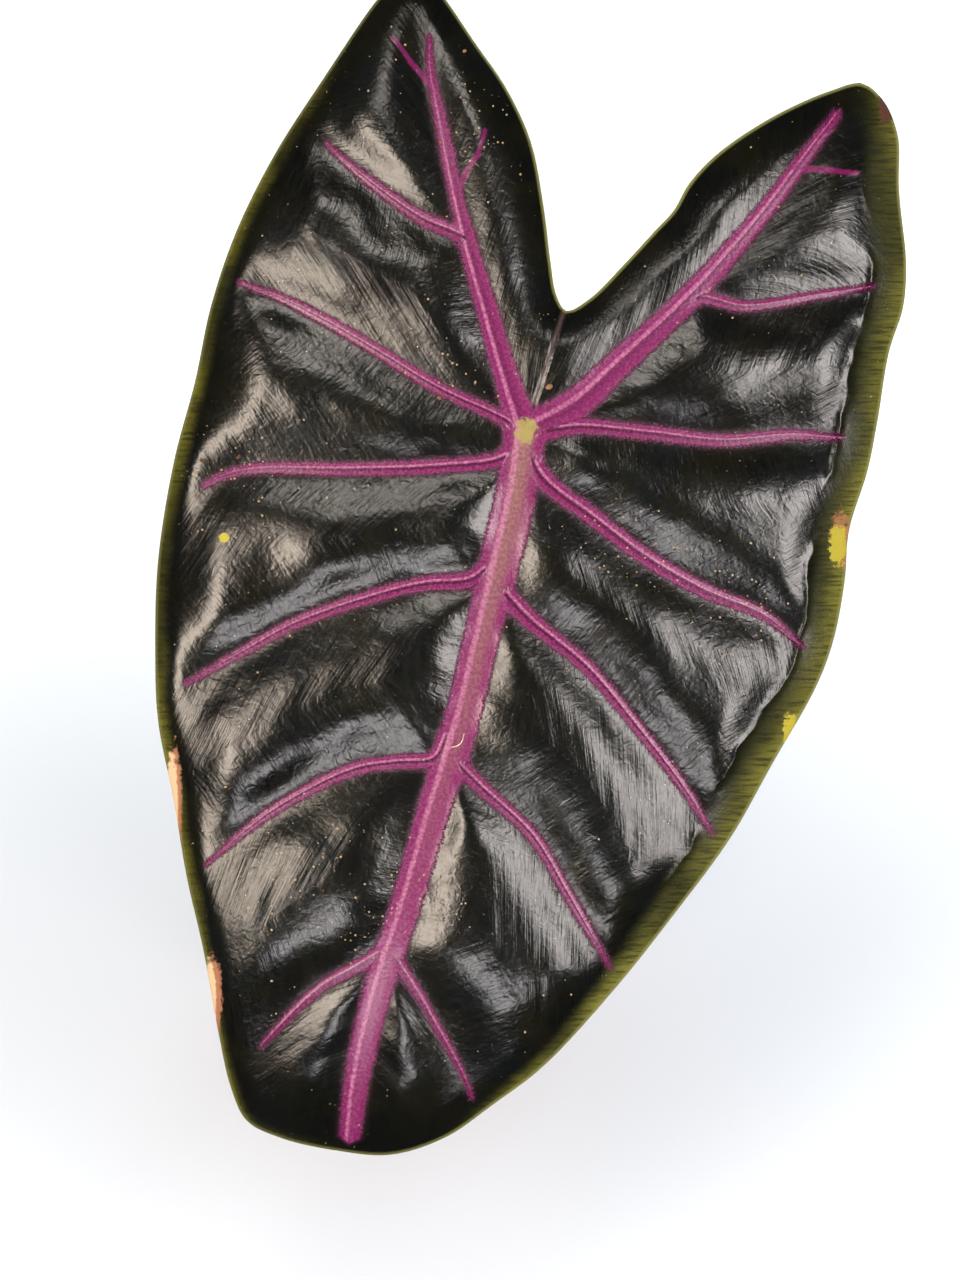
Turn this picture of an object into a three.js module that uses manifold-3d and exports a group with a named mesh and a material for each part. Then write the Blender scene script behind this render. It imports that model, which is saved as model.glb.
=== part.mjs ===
// A potted alocasia with one large leaf. A thick, heart-shaped blade with bold veins hangs from the top of an
// arching stalk. The stalk rises from a short rhizome in bark mix, in a plain moulded nursery pot.
// Millimetres, +Z up. The pot stands on z = 0 with its axis on Z, and the leaf's face looks towards -Y and up.
import * as THREE from "three";
import { mergeVertices } from "three/addons/utils/BufferGeometryUtils.js";
import Module from "manifold-3d";

const wasm = await Module();
wasm.setup();

// Driving dimensions
const seat = 0.3; // clearance where two pieces meet

const pot = {
  height: 122,
  baseRadius: 54,
  topRadius: 73, // outside, just under the lip
  wall: 1.8,
  floor: 2.2,
  lipHeight: 11,
  lipOut: 2.6,
  footHeight: 9, // the foot is a plain band, stepped in from the wall
  footStep: 1.2,
  sides: 48,
  slots: 8, // drainage slots through the foot
  slotWidth: 13,
  slotTop: 6.5,
};

const soil = {
  top: 109,
  sides: 40,
  lumpHeight: 1.6,
  mound: 3, // the mix is heaped a little round the rhizome
};

const rhizome = {
  radius: 15,
  topRadius: 12.5,
  foot: 82, // its buried end
  top: 121,
  sides: 20,
  scarDepth: 0.9,
  scarPitch: 4.2,
};

const stalk = {
  baseRadius: 9.2,
  neckRadius: 5.4,
  topRadius: 6.6, // it swells again where it meets the blade
  wingReach: 0.36, // share of its length that carries the sheath wings
  wingHeight: 0.34, // wing height as a share of the radius
  sides: 18,
  steps: 28,
  crowding: 1.5, // its sections crowd towards the top, where it bends most
};

const papery = {
  length: 58,
  wall: 0.9,
  clearance: 0.5,
  flare: 1.2, // its point stands this much further out
  halfSpan: 118, // degrees round the stalk, each way from its back
  steps: 9,
  arcSteps: 12,
};

const blade = {
  junction: new THREE.Vector3(56, -150, 380), // where the stalk meets the blade, in the part's frame
  lean: 60, // degrees from flat: the face looks 30 degrees up
  thickness: 1.4,
  drawnFrom: 650, // the outline and veins below are drawn as seen from this far in front of drawnAt
  drawnAt: [-15.75, -72.8],
  bulgeHeight: 5.5, // panels swell between the veins
  bulgeReach: 13,
  bulgeFade: 24, // and die out this near the margin
  leftRoll: 9, // the margin rolls back, over more of its width on the right
  rightRoll: 14,
  rollDepth: 6.5,
  sideSag: 10,
  sideSpan: 125,
  tipFrom: 170, // distance down the midrib where the tip starts to curl back
  tipReach: 90,
  tipBend: 18,
  lobeFrom: 45,
  lobeReach: 115,
  lobeBend: 9,
  waveHeight: 1.8,
  waveCount: 11,
  waveReach: 26,
  waveCentre: [-2, -31],
  marginRows: [14, 7, 2.5, 0], // distances from the margin of the outer rows of points
  innerRows: 5,
  innerLines: 3,
  ribTaper: 0.72, // share of its width and depth that a rib loses from root to end
  ribShoulder: [0.6, 0.8], // a rib's round back: at this share of its half width it has this share of its depth
  bossDepth: 9,
  bossRadius: 10.5,
  bossEndRadius: 7.4,
};

// The blade's outline and veins, seen from the front: x to the right, y up, from the stalk junction. The outline
// runs clockwise from the sinus.
const outlinePoints = [
  [14.5, 42.5], [23, 47], [34, 58], [45.5, 70.5], [52, 77.5], [57.5, 87], [67.5, 97.5], [87, 110.5],
  [107, 119.5], [118, 122], [125.5, 116], [130.5, 104], [131, 84.5], [133.5, 59.5], [132.5, 44], [127.5, 28],
  [123.5, 4], [120, -13.5], [113.5, -34.5], [112, -52], [108, -73], [102, -89], [87, -115.5], [72, -142],
  [52.5, -168.5], [31, -195.5], [6.5, -222], [-10.5, -235], [-28, -247], [-47, -253], [-66.5, -251.5],
  [-86, -247], [-97.5, -241], [-103, -229.5], [-107.5, -209.5], [-112.5, -182], [-118.5, -155.5], [-123, -129],
  [-128.5, -101], [-129.5, -76.5], [-128.5, -45], [-123, -10.5], [-115.5, 18], [-110, 44], [-101, 70.5],
  [-87.5, 97.5], [-70.5, 124], [-52.5, 150.5], [-47, 156.5], [-39.5, 159], [-32, 156.5], [-27, 150.5],
  [-17.5, 136.5], [-6.5, 120.5], [2, 102], [6.5, 79.5], [9, 59.5], [11, 48],
];

// Each vein runs from its root to the margin. halfWidth and depth are its rib's, at the root.
const veins = {
  midrib: {
    points: [
      [0, 0], [-3, -20.5], [-9, -46.5], [-15, -71], [-23.5, -106], [-31, -129], [-42.5, -168], [-51, -193.5],
      [-58.5, -225], [-62, -252],
    ],
    halfWidth: 5.2,
    depth: 4.6,
  },
  lobeRight: {
    points: [
      [0, 0], [18.5, 10.5], [32, 23], [57.5, 47], [71.5, 62.5], [86, 80], [100, 99], [108, 109.5], [116.5, 121.8],
    ],
    halfWidth: 4,
    depth: 3.6,
  },
  lobeRightBranch: {
    root: "lobeRight",
    points: [[57.5, 47], [63.5, 47], [76.5, 44], [103.5, 48], [122, 51], [133, 53]],
    halfWidth: 2.2,
    depth: 1.8,
  },
  right1: {
    points: [[0, 0], [10.5, 1], [18.5, 2], [45.5, -0.5], [69.5, -3], [94.5, -1], [111, -2], [123, -1]],
    halfWidth: 2.7,
    depth: 2.4,
  },
  right2: {
    points: [
      [0, 0], [4, -13], [11, -20.5], [21.5, -28], [42, -43.5], [63, -55.5], [83.5, -64], [98, -76], [104.5, -82.5],
    ],
    halfWidth: 2.9,
    depth: 2.5,
  },
  right3: {
    root: "midrib",
    points: [[-11, -55.5], [1, -65], [21.5, -82], [38, -101.5], [56, -125], [65, -139.5], [69.3, -145.7]],
    halfWidth: 2.8,
    depth: 2.4,
  },
  right4: {
    root: "midrib",
    points: [[-27, -115], [-15.5, -124], [2.5, -141], [15.5, -162.5], [30, -187.5], [33, -193]],
    halfWidth: 2.6,
    depth: 2.2,
  },
  right5: {
    root: "midrib",
    points: [[-47, -184], [-38, -195.5], [-32.5, -205], [-20.5, -227.5], [-17, -239.5]],
    halfWidth: 2,
    depth: 1.7,
  },
  left5: {
    root: "midrib",
    points: [[-47, -183], [-60.5, -188], [-69.5, -193], [-78, -200], [-92.5, -215], [-103.5, -227]],
    halfWidth: 2.2,
    depth: 1.8,
  },
  left4: {
    root: "midrib",
    points: [
      [-24.5, -107], [-31.5, -114], [-45, -115.5], [-60, -118], [-89, -133], [-111, -151], [-117.8, -158],
    ],
    halfWidth: 2.6,
    depth: 2.2,
  },
  left3: {
    root: "midrib",
    points: [
      [-10, -48.5], [-19, -51.5], [-35, -53], [-50, -56.5], [-79.5, -66.5], [-100, -77.5], [-118.5, -88],
      [-128.8, -94],
    ],
    halfWidth: 2.7,
    depth: 2.4,
  },
  left2: {
    points: [
      [0, 0], [-7, -8.5], [-30.5, -12], [-61, -13], [-96, -13], [-106, -15.5], [-113, -19], [-125.3, -24],
    ],
    halfWidth: 2.6,
    depth: 2.3,
  },
  left1: {
    points: [
      [0, 0], [-7, 4.5], [-30.5, 15.5], [-48.5, 26.5], [-67, 37.5], [-85.5, 47], [-100, 52.5], [-105.8, 56],
    ],
    halfWidth: 2.6,
    depth: 2.3,
  },
  lobeLeftBranch: {
    root: "lobeLeft",
    points: [[-20.5, 68], [-26, 70.5], [-35.5, 74.5], [-54, 87.5], [-69, 100.5], [-78.5, 111]],
    halfWidth: 2.2,
    depth: 1.8,
  },
  lobeLeft: {
    points: [
      [0, 0], [-7, 21], [-13.5, 43.5], [-20.5, 68], [-24.5, 84.5], [-29.5, 109], [-33, 126.5], [-33.5, 139.5],
      [-35.5, 158.5],
    ],
    halfWidth: 4,
    depth: 3.6,
  },
};

const colours = {
  pot: 0x9c5a3c,
  soil: 0x3a2a1e,
  rhizome: 0x6b4a33,
  stalk: 0x4c2f35,
  papery: 0x9a7148,
  blade: 0x161c12,
};

// Small helpers
const clamp01 = (value) => Math.min(1, Math.max(0, value));
const smoothstep = (low, high, value) => {
  const share = clamp01((value - low) / (high - low));
  return share * share * (3 - 2 * share);
};
const radians = (degrees) => (degrees * Math.PI) / 180;

function piece(name, geometry, colour, roughness, metalness = 0) {
  const material = new THREE.MeshStandardMaterial({ color: colour, roughness, metalness, side: THREE.DoubleSide });
  const made = new THREE.Mesh(geometry, material);
  made.name = name;
  return made;
}

// A closed geometry as a manifold solid, and back
function solidFrom(geometry) {
  const bare = geometry.clone();
  bare.deleteAttribute("normal");
  bare.deleteAttribute("uv");
  const merged = mergeVertices(bare, 1e-4);
  return new wasm.Manifold(
    new wasm.Mesh({
      numProp: 3,
      vertProperties: merged.attributes.position.array,
      triVerts: new Uint32Array(merged.index.array),
    }),
  );
}

function geometryFrom(solid) {
  const mesh = solid.getMesh();
  const geometry = new THREE.BufferGeometry();
  geometry.setAttribute("position", new THREE.BufferAttribute(new Float32Array(mesh.vertProperties), 3));
  geometry.setIndex(new THREE.BufferAttribute(new Uint32Array(mesh.triVerts), 1));
  geometry.computeVertexNormals();
  return geometry;
}

// Points [radius, height] turned round Z
function turned(profile, sides) {
  const points = profile.map(([radius, height]) => new THREE.Vector2(radius, height));
  return new THREE.LatheGeometry(points, sides).rotateX(Math.PI / 2);
}

// A closed skin over a row of sections with equal point counts, with a fan on each end
function lofted(sections) {
  const count = sections[0].length;
  const last = sections.length - 1;
  const positions = sections.flat().flatMap((point) => [point.x, point.y, point.z]);
  const indices = [];
  for (let row = 0; row < last; row++) {
    for (let i = 0; i < count; i++) {
      const a = row * count + i;
      const b = row * count + ((i + 1) % count);
      indices.push(a, b, b + count, a, b + count, a + count);
    }
  }
  for (const [row, flip] of [[0, true], [last, false]]) {
    const middle = new THREE.Vector3();
    sections[row].forEach((point) => middle.addScaledVector(point, 1 / count));
    const hub = positions.length / 3;
    positions.push(middle.x, middle.y, middle.z);
    for (let i = 0; i < count; i++) {
      const a = row * count + i;
      const b = row * count + ((i + 1) % count);
      indices.push(...(flip ? [hub, b, a] : [hub, a, b]));
    }
  }
  const geometry = new THREE.BufferGeometry();
  geometry.setAttribute("position", new THREE.Float32BufferAttribute(positions, 3));
  geometry.setIndex(indices);
  geometry.computeVertexNormals();
  return geometry;
}

// Pot: a thin tapered shell with a stepped foot and a folded lip, and slots through the foot
function wallRadius(height) {
  return pot.baseRadius + ((pot.topRadius - pot.baseRadius) * height) / (pot.height - pot.lipHeight);
}

function makePot() {
  const lipFoot = pot.height - pot.lipHeight;
  const round = 0.9;
  const insideLip = pot.topRadius + pot.lipOut - pot.wall - 1;
  const profile = [
    [0, 0],
    [pot.baseRadius - pot.footStep - round, 0],
    [pot.baseRadius - pot.footStep, round],
    [wallRadius(pot.footHeight) - pot.footStep, pot.footHeight],
    [wallRadius(pot.footHeight + 1.2), pot.footHeight + 1.2],
    [pot.topRadius, lipFoot],
    [pot.topRadius + pot.lipOut - round, lipFoot],
    [pot.topRadius + pot.lipOut, lipFoot + round],
    [pot.topRadius + pot.lipOut + 0.6, pot.height - round],
    [pot.topRadius + pot.lipOut - 0.3, pot.height],
    [insideLip + round, pot.height],
    [insideLip, pot.height - round],
    [pot.topRadius - pot.wall, lipFoot - 2],
    [wallRadius(pot.footHeight + 3) - pot.wall, pot.footHeight + 3],
    [wallRadius(pot.footHeight) - pot.footStep - pot.wall, pot.footHeight],
    [pot.baseRadius - pot.footStep - pot.wall, pot.floor],
    [0, pot.floor],
  ];
  let shell = solidFrom(turned(profile, pot.sides));
  for (let i = 0; i < pot.slots; i++) {
    const slot = new THREE.BoxGeometry(12, pot.slotWidth, pot.slotTop - 2);
    slot.translate(pot.baseRadius - pot.footStep, 0, pot.slotTop / 2 + 1);
    slot.rotateZ((2 * Math.PI * (i + 0.5)) / pot.slots);
    shell = shell.subtract(solidFrom(slot));
  }
  return piece("pot", geometryFrom(shell), colours.pot, 0.6);
}

// Soil: fills the pot up to its lumpy top, with a plain hole for the rhizome
function soilHeight(x, y) {
  const radius = Math.hypot(x, y);
  const heap = soil.mound * (1 - smoothstep(16, 52, radius));
  const lumps = Math.sin(0.31 * x + 1.3) * Math.cos(0.27 * y - 0.4) + 0.6 * Math.sin(0.53 * x - 0.41 * y);
  return soil.top + heap + soil.lumpHeight * 0.6 * lumps;
}

function makeSoil() {
  const hole = rhizome.radius + seat + 0.4;
  const rim = pot.topRadius - pot.wall - seat - 0.6;
  const stepIn = pot.wall + seat;
  const ledge = [22, 30, 38, 46, 54, 61, 66];
  const profile = [
    [0, pot.floor + seat],
    [pot.baseRadius - pot.footStep - stepIn - 0.6, pot.floor + seat],
    [wallRadius(pot.footHeight) - pot.footStep - stepIn - 0.4, pot.footHeight],
    [wallRadius(pot.footHeight + 3) - stepIn - 0.3, pot.footHeight + 4],
    [rim - 1, soil.top - 6],
    [rim, soil.top],
    ...ledge.toReversed().map((radius) => [radius, soil.top]),
    [hole, soil.top],
    [hole, rhizome.foot - seat],
    [0, rhizome.foot - seat],
  ];
  const geometry = turned(profile, soil.sides);
  const position = geometry.attributes.position;
  for (let i = 0; i < position.count; i++) {
    if (position.getZ(i) > soil.top - 0.01) {
      position.setZ(i, soilHeight(position.getX(i), position.getY(i)));
    }
  }
  geometry.computeVertexNormals();
  return piece("soil", geometry, colours.soil, 0.95);
}

// Rhizome: the short woody stem, ringed with old leaf scars above the soil
function makeRhizome() {
  const above = soil.top - 2;
  const profile = [
    [0, rhizome.foot],
    [rhizome.radius - 3, rhizome.foot],
    [rhizome.radius, rhizome.foot + 3],
    [rhizome.radius, above],
  ];
  for (let height = above + rhizome.scarPitch; height < rhizome.top - 1; height += rhizome.scarPitch) {
    const radius = THREE.MathUtils.mapLinear(height, above, rhizome.top, rhizome.radius, rhizome.topRadius);
    profile.push([radius - rhizome.scarDepth, height - rhizome.scarPitch * 0.6], [radius, height - 0.6]);
  }
  profile.push([rhizome.topRadius, rhizome.top - 0.8], [rhizome.topRadius - 0.6, rhizome.top], [0, rhizome.top]);
  return piece("rhizome", turned(profile, rhizome.sides), colours.rhizome, 0.85);
}

// The leaf's own frame, turned to its lean and placed at the junction
const leafFrame = new THREE.Group();
leafFrame.rotation.x = radians(blade.lean);
leafFrame.position.copy(blade.junction);
leafFrame.updateMatrixWorld(true);
const facing = new THREE.Vector3(0, 0, 1).transformDirection(leafFrame.matrixWorld);

// Stalk: from the rhizome's top up an arch, then round into the back of the blade
const stalkEnd = blade.junction.clone().addScaledVector(facing, -(blade.bossDepth + seat));
const stalkPath = new THREE.CatmullRomCurve3(
  [
    new THREE.Vector3(0, 0, rhizome.top + seat),
    new THREE.Vector3(0.4, -0.6, rhizome.top + 14),
    new THREE.Vector3(6, -13, 180),
    new THREE.Vector3(20, -42, 243),
    new THREE.Vector3(37, -80, 304),
    new THREE.Vector3(50, -112, 345),
    stalkEnd.clone().addScaledVector(facing, -13),
    stalkEnd.clone().addScaledVector(facing, -4),
    stalkEnd,
  ],
  false,
  "centripetal",
);

// Points round the stalk at a share of its length, at given radii and angles. A quarter turn is its back, away
// from the leaf's face.
function roundStalk(share, spots) {
  let along = stalkPath.getTangentAt(share);
  if (share === 0) along = new THREE.Vector3(0, 0, 1);
  if (share === 1) along = facing.clone();
  const right = new THREE.Vector3(1, 0, 0).addScaledVector(along, -along.x).normalize();
  const back = new THREE.Vector3().crossVectors(along, right);
  return spots.map(([radius, angle]) =>
    stalkPath
      .getPointAt(share)
      .addScaledVector(right, radius * Math.cos(angle))
      .addScaledVector(back, radius * Math.sin(angle)),
  );
}

function stalkRadius(share) {
  const taper = THREE.MathUtils.lerp(stalk.baseRadius, stalk.neckRadius, Math.pow(share, 0.8));
  return taper + (stalk.topRadius - stalk.neckRadius) * smoothstep(0.9, 1, share);
}

// Two wings run up the front of the lower stalk, where its base once sheathed the next leaf
function stalkSection(share, angle) {
  const wings = stalk.wingHeight * (1 - smoothstep(stalk.wingReach * 0.55, stalk.wingReach, share));
  const front = -Math.PI / 2;
  const bump = (at) => Math.exp((Math.cos(angle - at) - 1) / 0.05);
  const rise = wings * smoothstep(0.02, 0.08, share) * (bump(front - 0.6) + bump(front + 0.6));
  return stalkRadius(share) * (1 + rise);
}

function makeStalk() {
  const sections = [];
  for (let step = 0; step <= stalk.steps; step++) {
    const share = 1 - (1 - step / stalk.steps) ** stalk.crowding;
    const angles = Array.from({ length: stalk.sides }, (_, i) => (2 * Math.PI * i) / stalk.sides);
    sections.push(roundStalk(share, angles.map((angle) => [stalkSection(share, angle), angle])));
  }
  return piece("stalk", lofted(sections), colours.stalk, 0.45);
}

// Papery scale: the dried sheath that wraps the back of the stalk's foot and ends in a point
function makePaperyScale() {
  const sections = [];
  const length = stalkPath.getLength();
  for (let step = 0; step <= papery.steps; step++) {
    const rise = step / papery.steps;
    const share = (rise * papery.length) / length;
    const span = radians(papery.halfSpan) * Math.sqrt(1.02 - rise * rise);
    const inner = stalkRadius(share) + papery.clearance + papery.flare * rise * rise;
    const spots = [];
    for (const [radius, from, to] of [[inner + papery.wall, -span, span], [inner, span, -span]]) {
      for (let i = 0; i <= papery.arcSteps; i++) {
        spots.push([radius, Math.PI / 2 + THREE.MathUtils.lerp(from, to, i / papery.arcSteps)]);
      }
    }
    sections.push(roundStalk(share, spots));
  }
  return piece("papery_scale", lofted(sections), colours.papery, 0.8);
}

// Blade
const ahead = ([x, y]) => new THREE.Vector3(x, y, 0);
const curve = (points, closed = false) => new THREE.CatmullRomCurve3(points, closed, "centripetal");
const outline = curve(outlinePoints.map(ahead), true);
const outlineLine = outline.getSpacedPoints(360);
const junction = new THREE.Vector3();
const sinus = outline.getPointAt(0);

// Where a point lies along a path, as a share of its length
function shareAlong(path, point, samples = 800) {
  const gaps = path.getSpacedPoints(samples).map((at) => at.distanceTo(point));
  return gaps.indexOf(Math.min(...gaps)) / samples;
}

// A vein's path starts on the rib that it branches from and ends on the outline
function veinPath(name) {
  const vein = veins[name];
  if (!vein.path) {
    const points = vein.points.map(ahead);
    vein.rootShare = 0;
    if (vein.root) {
      vein.rootShare = shareAlong(veinPath(vein.root), points[0]);
      points[0] = ribPoint(vein.root, vein.rootShare, name.startsWith("right") ? 1 : -1);
    }
    vein.endShare = shareAlong(outline, points.at(-1));
    points[points.length - 1] = outline.getPointAt(vein.endShare);
    vein.path = curve(points);
  }
  return vein.path;
}

const thinned = (share) => 1 - blade.ribTaper * share;

// A point on a rib's crest, or on the foot of the midrib's rib, to the right for side 1 and to the left for -1
function ribPoint(name, share, side) {
  const path = veinPath(name);
  const point = path.getPointAt(share);
  if (name !== "midrib") return point;
  const { x, y } = path.getTangentAt(share);
  const width = veins.midrib.halfWidth * thinned(share) * Math.min(1, share / 0.06, (1 - share) / 0.1);
  return point.add(new THREE.Vector3(-y * side * width, x * side * width, 0));
}

const veinLines = Object.keys(veins).map((name) => veinPath(name).getSpacedPoints(24));

function distanceTo(line, x, y) {
  let nearest = Infinity;
  for (let i = 0; i + 1 < line.length; i++) {
    const a = line[i];
    const b = line[i + 1];
    const dx = b.x - a.x;
    const dy = b.y - a.y;
    const share = clamp01(((x - a.x) * dx + (y - a.y) * dy) / (dx * dx + dy * dy));
    nearest = Math.min(nearest, Math.hypot(x - a.x - share * dx, y - a.y - share * dy));
  }
  return nearest;
}

// How far the blade's middle stands towards the viewer at a point: panels swell between the veins, the margin
// rolls back, the sides sag, and the tip and the lobes curl away
function bladeHeight(x, y) {
  const margin = distanceTo(outlineLine, x, y);
  const vein = Math.min(...veinLines.map((line) => distanceTo(line, x, y)));
  const [tipX, tipY] = veins.midrib.points.at(-1);
  const length = Math.hypot(tipX, tipY);
  const down = (x * tipX + y * tipY) / length;
  const aside = (x * tipY - y * tipX) / length;
  const swell = blade.bulgeHeight * (1 - Math.exp(-((vein / blade.bulgeReach) ** 2)));
  const rollWidth = THREE.MathUtils.lerp(blade.leftRoll, blade.rightRoll, smoothstep(-60, 60, x));
  const roll = blade.rollDepth * (1 - clamp01(margin / rollWidth)) ** 2;
  const sag = blade.sideSag * (aside / blade.sideSpan) ** 2;
  const tip = blade.tipBend * Math.max(0, (down - blade.tipFrom) / blade.tipReach) ** 2;
  const lobes = blade.lobeBend * Math.max(0, (-down - blade.lobeFrom) / blade.lobeReach) ** 2;
  const turn = Math.atan2(y - blade.waveCentre[1], x - blade.waveCentre[0]);
  const wave = blade.waveHeight * Math.sin(blade.waveCount * turn) * (1 - smoothstep(0, blade.waveReach, margin));
  return swell * smoothstep(0, blade.bulgeFade, margin) - roll - sag - tip - lobes + wave;
}

// A sheet under construction: its points, welded where they meet, how far its back stands out at each one, and
// its faces, which all turn towards the viewer
class Sheet {
  points = [];
  drops = [];
  faces = [];
  known = new Map();

  add(point, drop) {
    const key = `${Math.round(point.x * 1000)},${Math.round(point.y * 1000)}`;
    if (!this.known.has(key)) {
      this.known.set(key, this.points.push(point) - 1);
      this.drops.push(0);
    }
    const index = this.known.get(key);
    this.drops[index] = Math.max(this.drops[index], drop);
    return index;
  }

  face(...corners) {
    const [a, b, c] = corners.map((index) => this.points[index]);
    const turn = (b.x - a.x) * (c.y - a.y) - (b.y - a.y) * (c.x - a.x);
    if (new Set(corners).size === 3) this.faces.push(turn > 0 ? corners : corners.toReversed());
  }

  grid(rows, drops) {
    const indices = rows.map((row, k) => row.map((point, j) => this.add(point, drops[k][j])));
    for (let k = 0; k + 1 < rows.length; k++) {
      for (let j = 0; j + 1 < rows[k].length; j++) {
        this.face(indices[k][j], indices[k][j + 1], indices[k + 1][j + 1]);
        this.face(indices[k][j], indices[k + 1][j + 1], indices[k + 1][j]);
      }
    }
  }
}

// Shares across a width for points at set distances from its two ends, with more spread evenly between them
function sharesAcross(width, fromStart, fromEnd, between) {
  const taken = Math.max(...fromStart) + Math.max(...fromEnd);
  const squeeze = width > 0 ? Math.min(1, (0.7 * width) / taken) / width : 0.7 / taken;
  const near = fromStart.map((distance) => distance * squeeze);
  const far = fromEnd.map((distance) => 1 - distance * squeeze);
  const step = (far[0] - near.at(-1)) / (between + 1);
  const inner = Array.from({ length: between }, (_, i) => near.at(-1) + (i + 1) * step);
  return [...near, ...inner, ...far];
}

const [shoulder, shoulderDepth] = blade.ribShoulder;
const ribProfile = [1, shoulderDepth, 0]; // depth at the crest, the shoulder and the foot
const ribOffsets = (width) => [0, shoulder * width, width];

// A Coons patch: its rows run from one side to the other, and each point blends the two sides and the two ends
function coons(sideA, sideB, startAt, endAt, along, across) {
  return sideA.map((a, k) =>
    across[k].map((share) => {
      const b = sideB[k];
      const ruled = a.clone().lerp(b, share);
      const ends = startAt(share).lerp(endAt(share), along[k]);
      const cornersStart = sideA[0].clone().lerp(sideB[0], share);
      const cornersEnd = sideA.at(-1).clone().lerp(sideB.at(-1), share);
      return ruled.add(ends).sub(cornersStart.lerp(cornersEnd, along[k]));
    }),
  );
}

// One side of an outer panel: its points from the rib that it springs from to the margin
function panelSide(name) {
  const vein = veins[name];
  const branch = veins[`${name}Branch`];
  const from = name === "midrib" ? 1 : (branch?.rootShare ?? 0);
  const length = vein.path.getLength() * (1 - from);
  const shares = sharesAcross(length, ribOffsets(veins.lobeLeft.halfWidth), blade.marginRows, blade.innerRows);
  const onVein = shares.map((share) => THREE.MathUtils.lerp(from, 1, share));
  return {
    shares,
    points: onVein.map((share) => vein.path.getPointAt(share)),
    widths: onVein.map((share) => vein.halfWidth * thinned(share)),
    depths: onVein.map((share) => (name === "midrib" ? 0 : vein.depth * thinned(share))),
    foot: vein.root ? vein.rootShare : from,
    end: vein.endShare,
  };
}

// The panel between two neighbouring veins. Its inner end lies on a rib, or at the junction.
function outerPanel(sheet, nameA, nameB, footRib, footSide) {
  const a = panelSide(nameA);
  const b = panelSide(nameB);
  const along = a.shares.map((share, k) => (share + b.shares[k]) / 2);
  const footAt = (share) =>
    footRib ? ribPoint(footRib, THREE.MathUtils.lerp(a.foot, b.foot, share), footSide) : junction.clone();
  const endAt = (share) => outline.getPointAt(THREE.MathUtils.lerp(a.end, b.end, share));
  const across = along.map((_, k) => {
    const width = a.points[k].distanceTo(b.points[k]);
    return sharesAcross(width, ribOffsets(a.widths[k]), ribOffsets(b.widths[k]).toReversed(), blade.innerLines);
  });
  const rows = coons(a.points, b.points, footAt, endAt, along, across);
  const onLobe = footRib?.startsWith("lobe");
  const drops = rows.map((row, k) =>
    row.map((_, j) => {
      const fromA = a.depths[k] * (ribProfile[j] ?? 0);
      const fromB = b.depths[k] * (ribProfile[row.length - 1 - j] ?? 0);
      const footShare = THREE.MathUtils.lerp(a.foot, b.foot, across[0][j]);
      const fromFoot = onLobe ? veins[footRib].depth * thinned(footShare) * (ribProfile[k] ?? 0) : 0;
      return Math.max(fromA, fromB, fromFoot);
    }),
  );
  sheet.grid(rows, drops);
  const footShares = across[0].map((share) => THREE.MathUtils.lerp(a.foot, b.foot, share));
  return { rows, footShares };
}

// The panel between a lobe's rib, the fold that runs from the junction to the sinus, and the lobe's inner margin
function innerPanel(sheet, name, crest, startShare) {
  const vein = veins[name];
  const lengths = crest.map((point, k) => (k ? point.distanceTo(crest[k - 1]) : 0));
  const total = lengths.reduce((sum, length) => sum + length, 0);
  let reached = 0;
  const along = lengths.map((length) => (reached += length) / total);
  const margin = along.map((share) => outline.getPointAt(THREE.MathUtils.lerp(startShare, vein.endShare, share)));
  const across = along.map((share, k) => {
    const rib = ribOffsets(vein.halfWidth * thinned(share));
    return sharesAcross(crest[k].distanceTo(margin[k]), rib, blade.marginRows, blade.innerLines);
  });
  const foldAt = (share) => junction.clone().lerp(sinus, share);
  const rows = coons(crest, margin, foldAt, () => crest.at(-1).clone(), along, across);
  const drops = rows.map((row, k) => row.map((_, j) => vein.depth * thinned(along[k]) * (ribProfile[j] ?? 0)));
  sheet.grid(rows, drops);
}

// The veins in order round the blade, and where each panel between two of them has its inner end
const spokes = [
  "lobeRight", "lobeRightBranch", "right1", "right2", "right3", "right4", "right5", "midrib",
  "left5", "left4", "left3", "left2", "left1", "lobeLeftBranch", "lobeLeft",
];
const footRibs = [
  "lobeRight", "lobeRight", null, "midrib", "midrib", "midrib", "midrib",
  "midrib", "midrib", "midrib", "midrib", null, "lobeLeft", "lobeLeft",
];

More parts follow.
